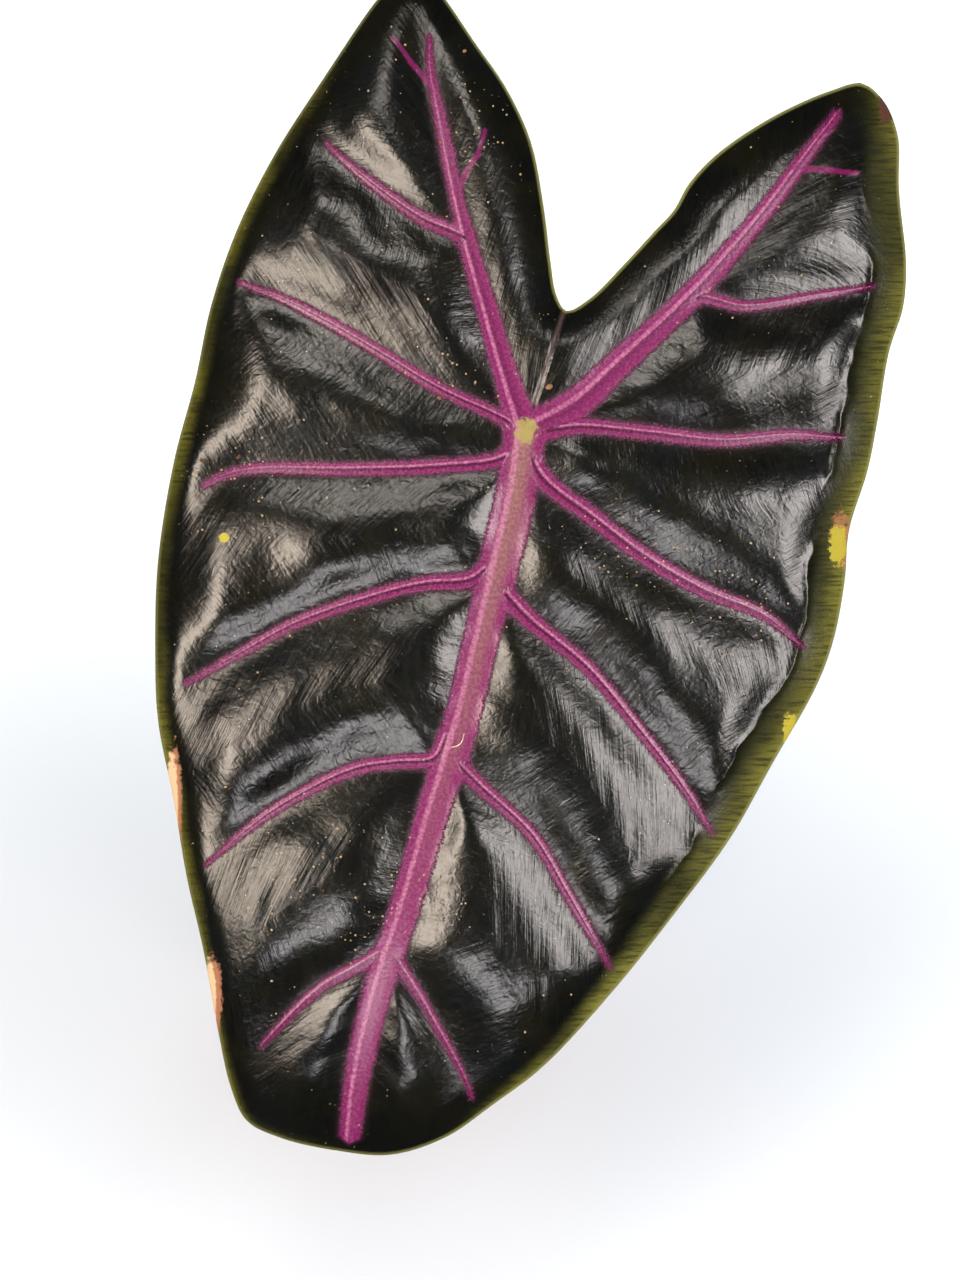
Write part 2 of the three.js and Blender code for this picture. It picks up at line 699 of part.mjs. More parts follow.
function bladeSheet() {
  const sheet = new Sheet();
  const tipAt = spokes.indexOf("midrib");
  const panels = footRibs.map((footRib, i) =>
    outerPanel(sheet, spokes[i], spokes[i + 1], footRib, i < tipAt ? 1 : -1),
  );

  // Each lobe's rib, from the junction to its end, is also the outer side of the lobe's inner panel
  const [rightEnd, rightBase] = panels;
  const [leftBase, leftEnd] = panels.slice(-2);
  const rightCrest = [...rightBase.rows[0].toReversed(), ...rightEnd.rows.slice(1).map((row) => row[0])];
  const leftCrest = [...leftBase.rows[0], ...leftEnd.rows.slice(1).map((row) => row.at(-1))];
  innerPanel(sheet, "lobeRight", rightCrest, 0);
  innerPanel(sheet, "lobeLeft", leftCrest, 1);

  // The midrib's rib lies between the two sides' inner ends
  const feet = (chosen) => ({
    points: chosen.flatMap(({ rows }, i) => rows[0].slice(i ? 1 : 0)),
    shares: chosen.flatMap(({ footShares }, i) => footShares.slice(i ? 1 : 0)),
  });
  const right = feet(panels.slice(tipAt - 4, tipAt));
  const left = feet(panels.slice(tipAt, tipAt + 4));
  left.points.reverse();
  left.shares.reverse();
  const depths = [];
  const strips = right.points.map((rightFoot, i) => {
    const share = (right.shares[i] + left.shares[i]) / 2;
    const crest = veinPath("midrib").getPointAt(share);
    const leftFoot = left.points[i];
    const depth = veins.midrib.depth * thinned(share);
    depths.push([0, shoulderDepth * depth, depth, shoulderDepth * depth, 0]);
    const [rightShoulder, leftShoulder] = [rightFoot, leftFoot].map((foot) => crest.clone().lerp(foot, shoulder));
    return [rightFoot, rightShoulder, crest, leftShoulder, leftFoot];
  });
  sheet.grid(strips, depths);
  return sheet;
}

// A drawn point put on the blade's middle: what lies further back stands a little further out
function bladePoint({ x, y }) {
  const z = bladeHeight(x, y);
  const [centreX, centreY] = blade.drawnAt;
  const spread = 1 - z / blade.drawnFrom;
  return [centreX + (x - centreX) * spread, centreY + (y - centreY) * spread, z];
}

// The blade as a closed solid: the sheet's front, its back with the ribs, and a rim round the margin
function makeBlade() {
  const { points, drops, faces } = bladeSheet();
  const count = points.length;
  const middle = points.map(bladePoint);
  const half = blade.thickness / 2;
  const front = middle.flatMap(([x, y, z]) => [x, y, z + half]);
  const back = middle.flatMap(([x, y, z], i) => [x, y, z - half - drops[i]]);
  const indices = faces.flatMap(([a, b, c]) => [a, b, c, a + count, c + count, b + count]);
  const edges = new Set(faces.flatMap(([a, b, c]) => [`${a},${b}`, `${b},${c}`, `${c},${a}`]));
  for (const edge of edges) {
    const [a, b] = edge.split(",").map(Number);
    if (!edges.has(`${b},${a}`)) indices.push(b, a, a + count, b, a + count, b + count);
  }
  const geometry = new THREE.BufferGeometry();
  geometry.setAttribute("position", new THREE.Float32BufferAttribute([...front, ...back], 3));
  geometry.setIndex(indices);
  const boss = turned(
    [[0, -blade.bossDepth], [blade.bossEndRadius, -blade.bossDepth], [blade.bossRadius, 0.2], [0, 0.2]],
    20,
  );
  return piece("leaf_blade", geometryFrom(solidFrom(geometry).add(solidFrom(boss))), colours.blade, 0.25);
}

leafFrame.add(makeBlade());

const alocasia = new THREE.Group();
alocasia.add(makePot(), makeSoil(), makeRhizome(), makePaperyScale(), makeStalk(), leafFrame);

export default alocasia;
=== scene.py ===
import math
from types import SimpleNamespace

import bpy
import numpy as np
from mathutils import Matrix, Vector


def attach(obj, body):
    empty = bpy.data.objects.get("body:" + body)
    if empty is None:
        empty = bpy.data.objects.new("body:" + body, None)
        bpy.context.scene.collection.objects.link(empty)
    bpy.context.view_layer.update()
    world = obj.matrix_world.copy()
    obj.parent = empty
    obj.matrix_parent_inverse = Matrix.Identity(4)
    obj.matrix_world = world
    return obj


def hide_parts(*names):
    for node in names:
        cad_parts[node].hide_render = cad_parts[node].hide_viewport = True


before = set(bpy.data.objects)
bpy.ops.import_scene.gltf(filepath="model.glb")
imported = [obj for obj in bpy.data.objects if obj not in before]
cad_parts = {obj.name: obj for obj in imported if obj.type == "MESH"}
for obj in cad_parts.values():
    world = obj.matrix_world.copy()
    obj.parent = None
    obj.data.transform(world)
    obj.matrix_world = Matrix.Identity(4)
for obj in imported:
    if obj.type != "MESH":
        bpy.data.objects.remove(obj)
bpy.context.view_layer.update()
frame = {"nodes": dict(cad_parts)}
print("frame loaded:", ", ".join(frame["nodes"]))

mm = 0.001  # shapes are worked out in millimetres and put into meshes in metres


# Numbers and shapes

def smoothStep(low, high, value):
    # 0 below low and 1 above high, with a soft S between them
    share = np.clip((value - low) / (high - low), 0, 1)
    return share * share * (3 - 2 * share)


def mix(a, b, share):
    return a + (b - a) * share


def softNoise(points, cell, seed):
    # Random heights on a square lattice of the given cell size, joined by S-curves: values run from -1 to 1
    dice = np.random.default_rng(seed)
    lattice = dice.uniform(-1, 1, (64,) * points.shape[1])
    place = points / cell
    low = np.floor(place).astype(int)
    share = place - low
    share = share * share * (3 - 2 * share)
    total = 0
    for corner in np.ndindex(*(2,) * points.shape[1]):
        weight = np.prod(np.where(corner, share, 1 - share), axis=1)
        total = total + weight * lattice[tuple(((low + corner) % 64).T)]
    return total


class SmoothCurve:
    # A centripetal Catmull-Rom curve through the points, kept as a dense line with the distance run along it
    def __init__(self, points, closed=False, steps=30):
        p = np.asarray(points, float)
        before = p[-1:] if closed else 2 * p[:1] - p[1:2]
        after = p[:2] if closed else 2 * p[-1:] - p[-2:-1]
        full = np.vstack([before, p, after])
        p0, p1, p2, p3 = full[:-3], full[1:-2], full[2:-1], full[3:]
        d0, d1, d2 = [
            np.maximum(np.linalg.norm(b - a, axis=1, keepdims=True) ** 0.5, 1e-4)
            for a, b in ((p0, p1), (p1, p2), (p2, p3))
        ]
        leave = ((p1 - p0) / d0 - (p2 - p0) / (d0 + d1)) * d1 + (p2 - p1)
        arrive = ((p3 - p2) / d2 - (p3 - p1) / (d1 + d2)) * d1 + (p2 - p1)
        t = np.linspace(0, 1, steps, endpoint=False)[:, None, None]
        line = (
            (2 * t**3 - 3 * t**2 + 1) * p1
            + (t**3 - 2 * t**2 + t) * leave
            + (3 * t**2 - 2 * t**3) * p2
            + (t**3 - t**2) * arrive
        )
        line = line.transpose(1, 0, 2).reshape(-1, p.shape[1])
        self.line = np.vstack([line, p2[-1:]])
        gaps = np.linalg.norm(np.diff(self.line, axis=0), axis=1)
        self.run = np.concatenate([[0], np.cumsum(gaps)])
        self.length = self.run[-1]

    def at(self, share):
        where = np.asarray(share, float) * self.length
        return np.stack([np.interp(where, self.run, column) for column in self.line.T], -1)

    def heading(self, share):
        share = np.asarray(share, float)
        step = self.at(np.minimum(share + 0.002, 1)) - self.at(np.maximum(share - 0.002, 0))
        return step / np.linalg.norm(step, axis=-1, keepdims=True)

    def nearest(self, point):
        return self.run[np.linalg.norm(self.line - point, axis=1).argmin()] / self.length


def distanceTo(points, line):
    # From each point to the nearest place on a line of straight steps: the gap, the share of the line run
    # there, and 1 or -1 for the side it lies on, seen along the line
    a, step = line[:-1], np.diff(line, axis=0)
    length = np.hypot(*step.T)
    run = np.concatenate([[0], np.cumsum(length)])
    parts = []
    for some in np.array_split(points, max(1, len(points) * len(a) // 2_000_000)):
        offset = some[:, None] - a
        share = np.clip((offset * step).sum(-1) / length**2, 0, 1)
        gap = np.linalg.norm(offset - share[..., None] * step, axis=-1)
        near = gap.argmin(1)
        row = np.arange(len(some))
        turn = step[near, 0] * offset[row, near, 1] - step[near, 1] * offset[row, near, 0]
        reached = (run[near] + share[row, near] * length[near]) / run[-1]
        parts.append((gap[row, near], reached, np.where(turn < 0, -1, 1)))
    return [np.concatenate(column) for column in zip(*parts)]


def gridFaces(rows, columns, wrapColumns=False, start=0):
    # Corners of the squares of a grid of points, with its last column joined to its first if wanted
    r = np.arange(rows - 1)[:, None]
    c = np.arange(columns if wrapColumns else columns - 1)[None]
    r2, c2 = r + 1, (c + 1) % columns
    corners = [r * columns + c, r * columns + c2, r2 * columns + c2, r2 * columns + c]
    return np.stack(corners, -1).reshape(-1, 4) + start


def fanFaces(ring, hub, flip=False):
    # Triangles from a ring of points to the point in its middle
    after = np.roll(ring, -1)
    faces = np.stack([ring, after, np.full(len(ring), hub)], -1)
    return faces[:, ::-1] if flip else faces


def tubeFaces(rows, columns):
    # The squares of a tube, and a fan at each end; the points in the two ends' middles follow its rows
    count, ring = rows * columns, np.arange(columns)
    faces = gridFaces(rows, columns, wrapColumns=True).tolist()
    faces += fanFaces(ring, count, flip=True).tolist()
    return faces + fanFaces(ring + count - columns, count + 1).tolist()


def placePiece(name, mesh, replaced):
    # A finished mesh as a piece that rides on the part, in place of the CAD nodes that it replaces
    piece = bpy.data.objects.new(name, mesh)
    bpy.context.collection.objects.link(piece)
    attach(piece, "root")
    if replaced:
        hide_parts(*replaced)


def makePiece(name, points, faces, materials, replaced=(), uv=None, values=None, slots=None):
    # Points in millimetres, faces as corner numbers, uv per point, values as named point values
    mesh = bpy.data.meshes.new(name)
    lists = faces if isinstance(faces, list) else faces.tolist()
    mesh.from_pydata((points * mm).tolist(), [], lists)
    if uv is not None:
        corners = np.zeros(len(mesh.loops), int)
        mesh.loops.foreach_get("vertex_index", corners)
        layer = mesh.uv_layers.new(name="surface")
        layer.data.foreach_set("uv", uv[corners].ravel())
    for label, value in (values or {}).items():
        layer = mesh.attributes.new(label, "FLOAT", "POINT")
        layer.data.foreach_set("value", np.asarray(value, np.float32))
    for material in materials:
        mesh.materials.append(material)
    if slots is not None:
        mesh.polygons.foreach_set("material_index", slots)
    mesh.polygons.foreach_set("use_smooth", np.ones(len(mesh.polygons), bool))
    mesh.update()
    placePiece(name, mesh, replaced)


# Shader helpers

class Field:
    # A number, colour or place inside a shader; sums, differences and products of fields become Math nodes
    def __init__(self, socket):
        self.socket, self.tree = socket, socket.id_data

    def __add__(self, other):
        return calc("ADD", self, other)

    def __sub__(self, other):
        return calc("SUBTRACT", self, other)

    def __rsub__(self, other):
        return calc("SUBTRACT", other, self)

    def __mul__(self, other):
        return calc("MULTIPLY", self, other)

    def __abs__(self):
        return calc("ABSOLUTE", self)


def fill(node, inputs):
    # Inputs go by socket name or number and hold a constant or a field
    for socket, value in inputs.items():
        if isinstance(value, Field):
            value.tree.links.new(value.socket, node.inputs[socket])
        else:
            node.inputs[socket].default_value = value


def addNode(tree, kind, inputs=None, **settings):
    node = tree.nodes.new("ShaderNode" + kind)
    for key, value in settings.items():
        setattr(node, key, value)
    fill(node, inputs or {})
    return node


def outputsOf(tree, kind, inputs=None, **settings):
    node = addNode(tree, kind, inputs, **settings)
    return {socket.name: Field(socket) for socket in node.outputs}


def derive(kind, output, inputs, **settings):
    # One output of a new node, in the tree that its fields belong to
    tree = next(value.tree for value in inputs.values() if isinstance(value, Field))
    return Field(addNode(tree, kind, inputs, **settings).outputs[output])


def calc(operation, *terms, clamp=False):
    return derive("Math", 0, dict(enumerate(terms)), operation=operation, use_clamp=clamp)


def largest(fields):
    most = fields[0]
    for field in fields[1:]:
        most = calc("MAXIMUM", most, field)
    return most


def vectorMath(operation, *terms, output=0):
    return derive("VectorMath", output, dict(enumerate(terms)), operation=operation)


def scaled(place, amount):
    return derive("VectorMath", 0, {0: place, "Scale": amount}, operation="SCALE")


def stretch(place, x, y, z):
    return vectorMath("MULTIPLY", place, (x, y, z))


def split(place):
    return list(outputsOf(place.tree, "SeparateXYZ", {0: place}).values())


def join(x, y, z=0.0):
    return derive("CombineXYZ", 0, {0: x, 1: y, 2: z})


def ramp(value, low, high, toLow=0.0, toHigh=1.0):
    # A soft S from one value to another
    inputs = {"Value": value, "From Min": low, "From Max": high, "To Min": toLow, "To Max": toHigh}
    return derive("MapRange", 0, inputs, interpolation_type="SMOOTHSTEP")


def blend(share, first, second):
    # Two numbers: first + (second - first) * share
    return derive("Mix", 0, {0: share, 2: first, 3: second})


def tint(share, first, second):
    # Two colours, by the same formula
    return derive("Mix", 2, {0: share, 6: first, 7: second}, data_type="RGBA")


def grain(place, scale, detail=3.0, roughness=0.5, distortion=0.0):
    # Cloudy noise around a half
    inputs = {"Vector": place, "Scale": scale, "Detail": detail, "Roughness": roughness}
    return derive("TexNoise", "Fac", {**inputs, "Distortion": distortion})


def stepGap(place, start, end):
    # The distance from a place to a straight step on the drawn plane: |p - way * clamp(p . way / way²)|
    start = Vector((*start, 0))
    way = Vector((*end, 0)) - start
    offset = vectorMath("SUBTRACT", place, start)
    reached = vectorMath("DOT_PRODUCT", offset, way / way.length_squared, output="Value")
    foot = scaled(way, calc("ADD", reached, 0.0, clamp=True))
    return vectorMath("DISTANCE", offset, foot, output="Value")


def pointValue(tree, name):
    return outputsOf(tree, "Attribute", attribute_name=name)["Fac"]


def objectPlace(tree):
    return outputsOf(tree, "TexCoord")["Object"]


def surfacePlace(tree):
    return outputsOf(tree, "UVMap", uv_map="surface")["UV"]


def rgb(red, green, blue):
    # A colour as a picture shows it, 0 to 255, for a colour socket
    light = lambda part: part / 255 / 12.92 if part <= 10 else ((part / 255 + 0.055) / 1.055) ** 2.4
    return (light(red), light(green), light(blue), 1.0)


def darker(colour, share):
    return tuple(share * part for part in colour[:3]) + (1,)


def makeMaterial(name, **constants):
    # A material with its Principled shader; constants are set on the shader's own sockets
    material = bpy.data.materials.new(name)
    material.use_nodes = True
    shader = material.node_tree.nodes["Principled BSDF"]
    fill(shader, constants)
    return material, material.node_tree, shader


def feedShader(shader, tone, height, depth, strength=1.0, roughness=None):
    # Its colour, a relief of the given depth in millimetres for heights from 0 to 1, and an uneven roughness
    bump = derive("Bump", 0, {"Height": height, "Distance": depth * mm, "Strength": strength})
    fill(shader, {"Base Color": tone, "Normal": bump})
    if roughness:
        fill(shader, {"Roughness": roughness})


def makeGroup(name, output, inputs, build):
    # A node group; inputs give each name's kind and start value, and build works out the one output from them
    group = bpy.data.node_groups.new(name, "ShaderNodeTree")
    for label, (kind, start) in inputs.items():
        socket = group.interface.new_socket(label, in_out="INPUT", socket_type="NodeSocket" + kind)
        socket.default_value = start
    group.interface.new_socket(output, in_out="OUTPUT", socket_type="NodeSocketFloat")
    source = group.nodes.new("NodeGroupInput")
    given = {label: Field(source.outputs[label]) for label in inputs}
    fill(group.nodes.new("NodeGroupOutput"), {output: build(given)})
    return group


def useGroup(group, **inputs):
    return derive("Group", 0, inputs, node_tree=group)


def specksMask(given):
    # Scattered specks: the middles of random cells, with most of the cells left empty
    place = scaled(given["Place"], given["Density"])
    inputs = {"Vector": place, "Scale": 1.0, "Randomness": 1.0}
    cells = outputsOf(place.tree, "TexVoronoi", inputs, feature="F1")
    chance, width, _ = outputsOf(place.tree, "SeparateColor", {"Color": cells["Color"]}).values()
    size = given["Size"] * ramp(width, 0.0, 1.0, 0.35, 1.0)
    return calc("LESS_THAN", chance, given["Share"]) * calc("LESS_THAN", cells["Distance"], size)


def spotMask(given):
    # A soft oval spot with an uneven edge, on coordinates in millimetres
    offset = vectorMath("SUBTRACT", given["Place"], given["Centre"])
    reach = vectorMath("LENGTH", vectorMath("DIVIDE", offset, given["Size"]), output="Value")
    return ramp(reach + (given["Grain"] - 0.5) * given["Uneven"], 1.1, 0.8)


def fibresHeight(given):
    # Long fibres: Place holds the two directions across them, then the distance along them
    x, y, z = split(given["Place"])
    stretched = join(x * given["Across"], y * given["Across"], z * given["Along"])
    return grain(stretched, 1.0, 4.0, 0.62, 0.25) * 0.7 + grain(stretched, 3.7, 2.0, 0.5) * 0.3


specks = makeGroup("specks", "Mask", {
    "Place": ("Vector", (0, 0, 0)), "Density": ("Float", 200.0), "Share": ("Float", 0.1),
    "Size": ("Float", 0.1),
}, specksMask)
spot = makeGroup("spot", "Mask", {
    "Place": ("Vector", (0, 0, 0)), "Centre": ("Vector", (0, 0, 0)), "Size": ("Vector", (1, 1, 1)),
    "Grain": ("Float", 0.5), "Uneven": ("Float", 0.6),
}, spotMask)
fibres = makeGroup("fibres", "Height", {
    "Place": ("Vector", (0, 0, 0)), "Across": ("Float", 1.0), "Along": ("Float", 0.1),
}, fibresHeight)


# Leaf blade

leaf = {
    "junction": (56, -150, 380),  # where the stalk meets it
    "lean": 60,  # degrees from flat
    "thickness": 1.4,
    "drawnFrom": 650, "drawnAt": (-15.75, -72.8),
    "bulgeHeight": 5.5, "bulgeReach": 13, "bulgeFade": 24,
    "leftRoll": 9, "rightRoll": 14, "rollDepth": 6.5,
    "sideSag": 10, "sideSpan": 125,
    "tipFrom": 170, "tipReach": 90, "tipBend": 18,
    "lobeFrom": 45, "lobeReach": 115, "lobeBend": 9,
    "waveHeight": 1.8, "waveCount": 11, "waveReach": 26, "waveCentre": (-2, -31),
    "ribTaper": 0.72, "bossDepth": 9, "bossRadius": 7.4, "bossFlare": 14,
    "undulation": 1.0,  # height of the broad dents in the panels
    "pleats": 0.26,  # height of the folds that run out from the veins
}
leanAngle = math.radians(leaf["lean"])
leafFacing = np.array([0, -math.sin(leanAngle), math.cos(leanAngle)])
leafUp = np.array([0, math.cos(leanAngle), math.sin(leanAngle)])

outlinePoints = [
    [14.5, 42.5], [23, 47], [34, 58], [45.5, 70.5], [52, 77.5], [57.5, 87], [67.5, 97.5], [87, 110.5],
    [107, 119.5], [118, 122], [125.5, 116], [130.5, 104], [131, 84.5], [133.5, 59.5], [132.5, 44],
    [127.5, 28], [123.5, 4], [120, -13.5], [113.5, -34.5], [112, -52], [108, -73], [102, -89],
    [87, -115.5], [72, -142], [52.5, -168.5], [31, -195.5], [6.5, -222], [-10.5, -235], [-28, -247],
    [-47, -253], [-66.5, -251.5], [-86, -247], [-97.5, -241], [-103, -229.5], [-107.5, -209.5],
    [-112.5, -182], [-118.5, -155.5], [-123, -129], [-128.5, -101], [-129.5, -76.5], [-128.5, -45],
    [-123, -10.5], [-115.5, 18], [-110, 44], [-101, 70.5], [-87.5, 97.5], [-70.5, 124], [-52.5, 150.5],
    [-47, 156.5], [-39.5, 159], [-32, 156.5], [-27, 150.5], [-17.5, 136.5], [-6.5, 120.5], [2, 102],
    [6.5, 79.5], [9, 59.5], [11, 48],
]

# Veins from their roots to the margin: rib half width and depth at the root, the rib that they spring from,
# and the half width of the coloured band from root to end. The band stops short of the margin at bandEnd.
veins = {
    "midrib": {
        "points": [[0, 0], [-3, -20.5], [-9, -46.5], [-15, -71], [-23.5, -106], [-31, -129], [-42.5, -168],
                   [-51, -193.5], [-58.5, -225], [-62, -252]],
        "rib": (5.2, 4.6), "band": [6.6, 7, 6, 6, 5.4, 5, 4.8, 3.6], "bandEnd": 0.98, "upper": -1,
    },
    "lobeRight": {
        "points": [[0, 0], [18.5, 10.5], [32, 23], [57.5, 47], [71.5, 62.5], [86, 80], [100, 99],
                   [108, 109.5], [116.5, 121.8]],
        "rib": (4, 3.6), "band": [5.6, 5.2, 4.4, 4, 3.1, 2.5, 1.4], "bandEnd": 0.93, "upper": 1,
    },
    "lobeRightBranch": {
        "points": [[57.5, 47], [63.5, 47], [76.5, 44], [103.5, 48], [122, 51], [133, 53]],
        "root": "lobeRight", "rib": (2.2, 1.8), "band": [2.2, 1.8, 1.5, 1.3, 0.5], "bandEnd": 0.86,
        "upper": 1,
    },
    "right1": {
        "points": [[0, 0], [10.5, 1], [18.5, 2], [45.5, -0.5], [69.5, -3], [94.5, -1], [111, -2], [123, -1]],
        "rib": (2.7, 2.4), "band": [3, 2.6, 2.4, 2.3, 2, 1.75, 0.7], "bandEnd": 0.91, "upper": 1,
    },
    "right2": {
        "points": [[0, 0], [4, -13], [11, -20.5], [21.5, -28], [42, -43.5], [63, -55.5], [83.5, -64],
                   [98, -76], [104.5, -82.5]],
        "rib": (2.9, 2.5), "band": [3.2, 3.1, 2.8, 2.7, 2.4, 1.8, 0.5], "bandEnd": 0.93, "upper": 1,
    },
    "right3": {
        "points": [[-11, -55.5], [1, -65], [21.5, -82], [38, -101.5], [56, -125], [65, -139.5],
                   [69.3, -145.7]],
        "root": "midrib", "rib": (2.8, 2.4), "band": [3.2, 2.6, 2.1, 1.8, 1.6, 0.6], "bandEnd": 0.95,
        "upper": 1,
    },
    "right4": {
        "points": [[-27, -115], [-15.5, -124], [2.5, -141], [15.5, -162.5], [30, -187.5], [33, -193]],
        "root": "midrib", "rib": (2.6, 2.2), "band": [2.6, 2.1, 1.8, 1.6, 0.5], "bandEnd": 0.94, "upper": 1,
    },
    "right5": {
        "points": [[-47, -184], [-38, -195.5], [-32.5, -205], [-20.5, -227.5], [-17, -239.5]],
        "root": "midrib", "rib": (2, 1.7), "band": [1.9, 1.5, 1.2, 0.4], "bandEnd": 0.9, "upper": 1,
    },
    "left5": {
        "points": [[-47, -183], [-60.5, -188], [-69.5, -193], [-78, -200], [-92.5, -215], [-103.5, -227]],
        "root": "midrib", "rib": (2.2, 1.8), "band": [2.2, 1.9, 1.7, 1.3, 0.5], "bandEnd": 0.78, "upper": -1,
    },
    "left4": {
        "points": [[-24.5, -107], [-31.5, -114], [-45, -115.5], [-60, -118], [-89, -133], [-111, -151],
                   [-117.8, -158]],
        "root": "midrib", "rib": (2.6, 2.2), "band": [2.6, 2.3, 2, 1.5, 0.5], "bandEnd": 0.92, "upper": -1,
    },
    "left3": {
        "points": [[-10, -48.5], [-19, -51.5], [-35, -53], [-50, -56.5], [-79.5, -66.5], [-100, -77.5],
                   [-118.5, -88], [-128.8, -94]],
        "root": "midrib", "rib": (2.7, 2.4), "band": [2.8, 2.3, 2, 1.6, 0.7], "bandEnd": 0.91, "upper": -1,
    },
    "left2": {
        "points": [[0, 0], [-7, -8.5], [-30.5, -12], [-61, -13], [-96, -13], [-106, -15.5], [-113, -19],
                   [-125.3, -24]],
        "rib": (2.6, 2.3), "band": [2.6, 2.4, 2.3, 2.1, 1.8, 0.9], "bandEnd": 0.9, "upper": -1,
    },
    "left1": {
        "points": [[0, 0], [-7, 4.5], [-30.5, 15.5], [-48.5, 26.5], [-67, 37.5], [-85.5, 47], [-100, 52.5],
                   [-105.8, 56]],
        "rib": (2.6, 2.3), "band": [2.3, 2.1, 1.9, 1.7, 0.7], "bandEnd": 0.94, "upper": -1,
    },
    "lobeLeftBranch": {
        "points": [[-20.5, 68], [-26, 70.5], [-35.5, 74.5], [-54, 87.5], [-69, 100.5], [-78.5, 111]],
        "root": "lobeLeft", "rib": (2.2, 1.8), "band": [2.6, 2.1, 1.6, 0.6], "bandEnd": 0.82, "upper": -1,
    },
    "lobeLeft": {
        "points": [[0, 0], [-7, 21], [-13.5, 43.5], [-20.5, 68], [-24.5, 84.5], [-29.5, 109], [-33, 126.5],
                   [-33.5, 139.5], [-35.5, 158.5]],
        "rib": (4, 3.6), "band": [5.6, 4.2, 3.7, 3.3, 2.3, 2.3, 1.6, 0.6], "bandEnd": 0.88, "upper": 1,
    },
}

# Fine spurs near the lobes' ends: straight steps and the half width at each end
spurs = [
    ([(-32, 119.5), (-34.5, 123), (-40, 129.5), (-46, 138)], 1.05, 0.4),
    ([(-23.5, 84.5), (-20.5, 91), (-16.5, 97), (-14, 105.5)], 1.05, 0.4),
    ([(95, 92.5), (98.5, 92), (107, 91.5), (116, 90.5)], 1.3, 0.5),
]

spokes = ["lobeRight", "lobeRightBranch", "right1", "right2", "right3", "right4", "right5", "midrib",
          "left5", "left4", "left3", "left2", "left1", "lobeLeftBranch", "lobeLeft"]
footRibs = ["lobeRight", "lobeRight", None] + ["midrib"] * 8 + [None, "lobeLeft", "lobeLeft"]

leafMesh = {
    "ribSteps": np.array([0, 0.3, 0.6, 0.85, 1.15, 1.6]),  # lines beside a vein, in half widths of its rib
    "marginSteps": np.array([17, 14, 11.5, 9, 7, 5.2, 3.6, 2.2, 1.2, 0.5, 0.12, 0]),  # lines along the margin
    "innerRows": 46, "innerLines": 32, "lobeLines": 14,
}
noFoot = 99  # a gap in millimetres that is out of reach of the ribs at a panel's foot
mainRibs = {"midrib": 1.0, "lobeLeft": 0.55, "lobeRight": 0.55}  # how far a rib takes on the midrib's colours

outline = SmoothCurve(outlinePoints, closed=True)


def thinned(share):
    return 1 - leaf["ribTaper"] * share


def setVeinPath(name):
    # A vein's path starts on the rib that it branches from and ends on the outline
    vein = veins[name]
    if "path" in vein:
        return
    points = np.array(vein["points"], float)
    vein["rootShare"] = 0.0
    if "root" in vein:
        setVeinPath(vein["root"])
        vein["rootShare"] = veins[vein["root"]]["path"].nearest(points[0])
        points[0] = ribPoint(vein["root"], vein["rootShare"], 1 if name.startswith("right") else -1)
    vein["endShare"] = outline.nearest(points[-1])
    points[-1] = outline.at(vein["endShare"])
    vein["path"] = SmoothCurve(points)


def ribPoint(name, share, side):
    # On a rib's crest, or on the foot of the midrib's rib, to the right for side 1 and to the left for -1
    share = np.asarray(share, float)
    path = veins[name]["path"]
    point = path.at(share)
    if name != "midrib":
        return point
    heading = path.heading(share)
    atEnds = np.minimum(1, np.minimum(share / 0.06, (1 - share) / 0.1))
    width = veins[name]["rib"][0] * thinned(share) * atEnds
    return point + side * width[..., None] * np.stack([-heading[..., 1], heading[..., 0]], -1)


for veinName in veins:
    setVeinPath(veinName)


def spreadAcross(width, near, far, between):
    # Shares across each row's width: lines at set distances from its two sides, with more spread between them
    taken = near[:, -1:] + far[:, :1]
    width = width[:, None]
    squeeze = np.minimum(1, 0.7 * width / taken) / np.maximum(width, 1e-6)
    squeeze = np.where(width > 1e-6, squeeze, 0.7 / taken)
    low, high = near * squeeze, 1 - far * squeeze
    inner = low[:, -1:] + (high[:, :1] - low[:, -1:]) * np.linspace(0, 1, between + 2)[1:-1]
    return np.hstack([low, inner, high])


def coons(sideA, sideB, start, end, along, across):
    # A patch filled in from its four sides: the two long sides blended, plus the two ends blended, less the
    # corners
    v, u = along[:, None, None], across[..., None]
    ruled = mix(sideA[:, None], sideB[:, None], u)
    ends = mix(start, end, v)
    corners = mix(mix(sideA[0], sideB[0], u), mix(sideA[-1], sideB[-1], u), v)
    return ruled + ends - corners


def panelSide(name):
    # One side of an outer panel, from the rib that it springs from to the margin
    vein, branch = veins[name], veins.get(name + "Branch")
    start = 1.0 if name == "midrib" else (branch["rootShare"] if branch else 0.0)
    length = np.array([vein["path"].length * (1 - start)])
    near = (leafMesh["ribSteps"] * veins["lobeLeft"]["rib"][0])[None]
    shares = spreadAcross(length, near, leafMesh["marginSteps"][None], leafMesh["innerRows"])[0]
    onVein = mix(start, 1, shares)
    return {
        "shares": shares, "points": vein["path"].at(onVein), "width": vein["rib"][0] * thinned(onVein),
        "run": onVein * vein["path"].length, "foot": vein["rootShare"] if "root" in vein else start,
        "end": vein["endShare"],
    }


def ribDrop(gap, width, depth):
    # How far a rib stands out behind the blade at a gap from its crest: a round back with soft feet
    reach = np.clip(gap / np.maximum(width, 1e-6), 0, 1.6)
    return depth * (1 - smoothStep(0.0, 1.5, reach))


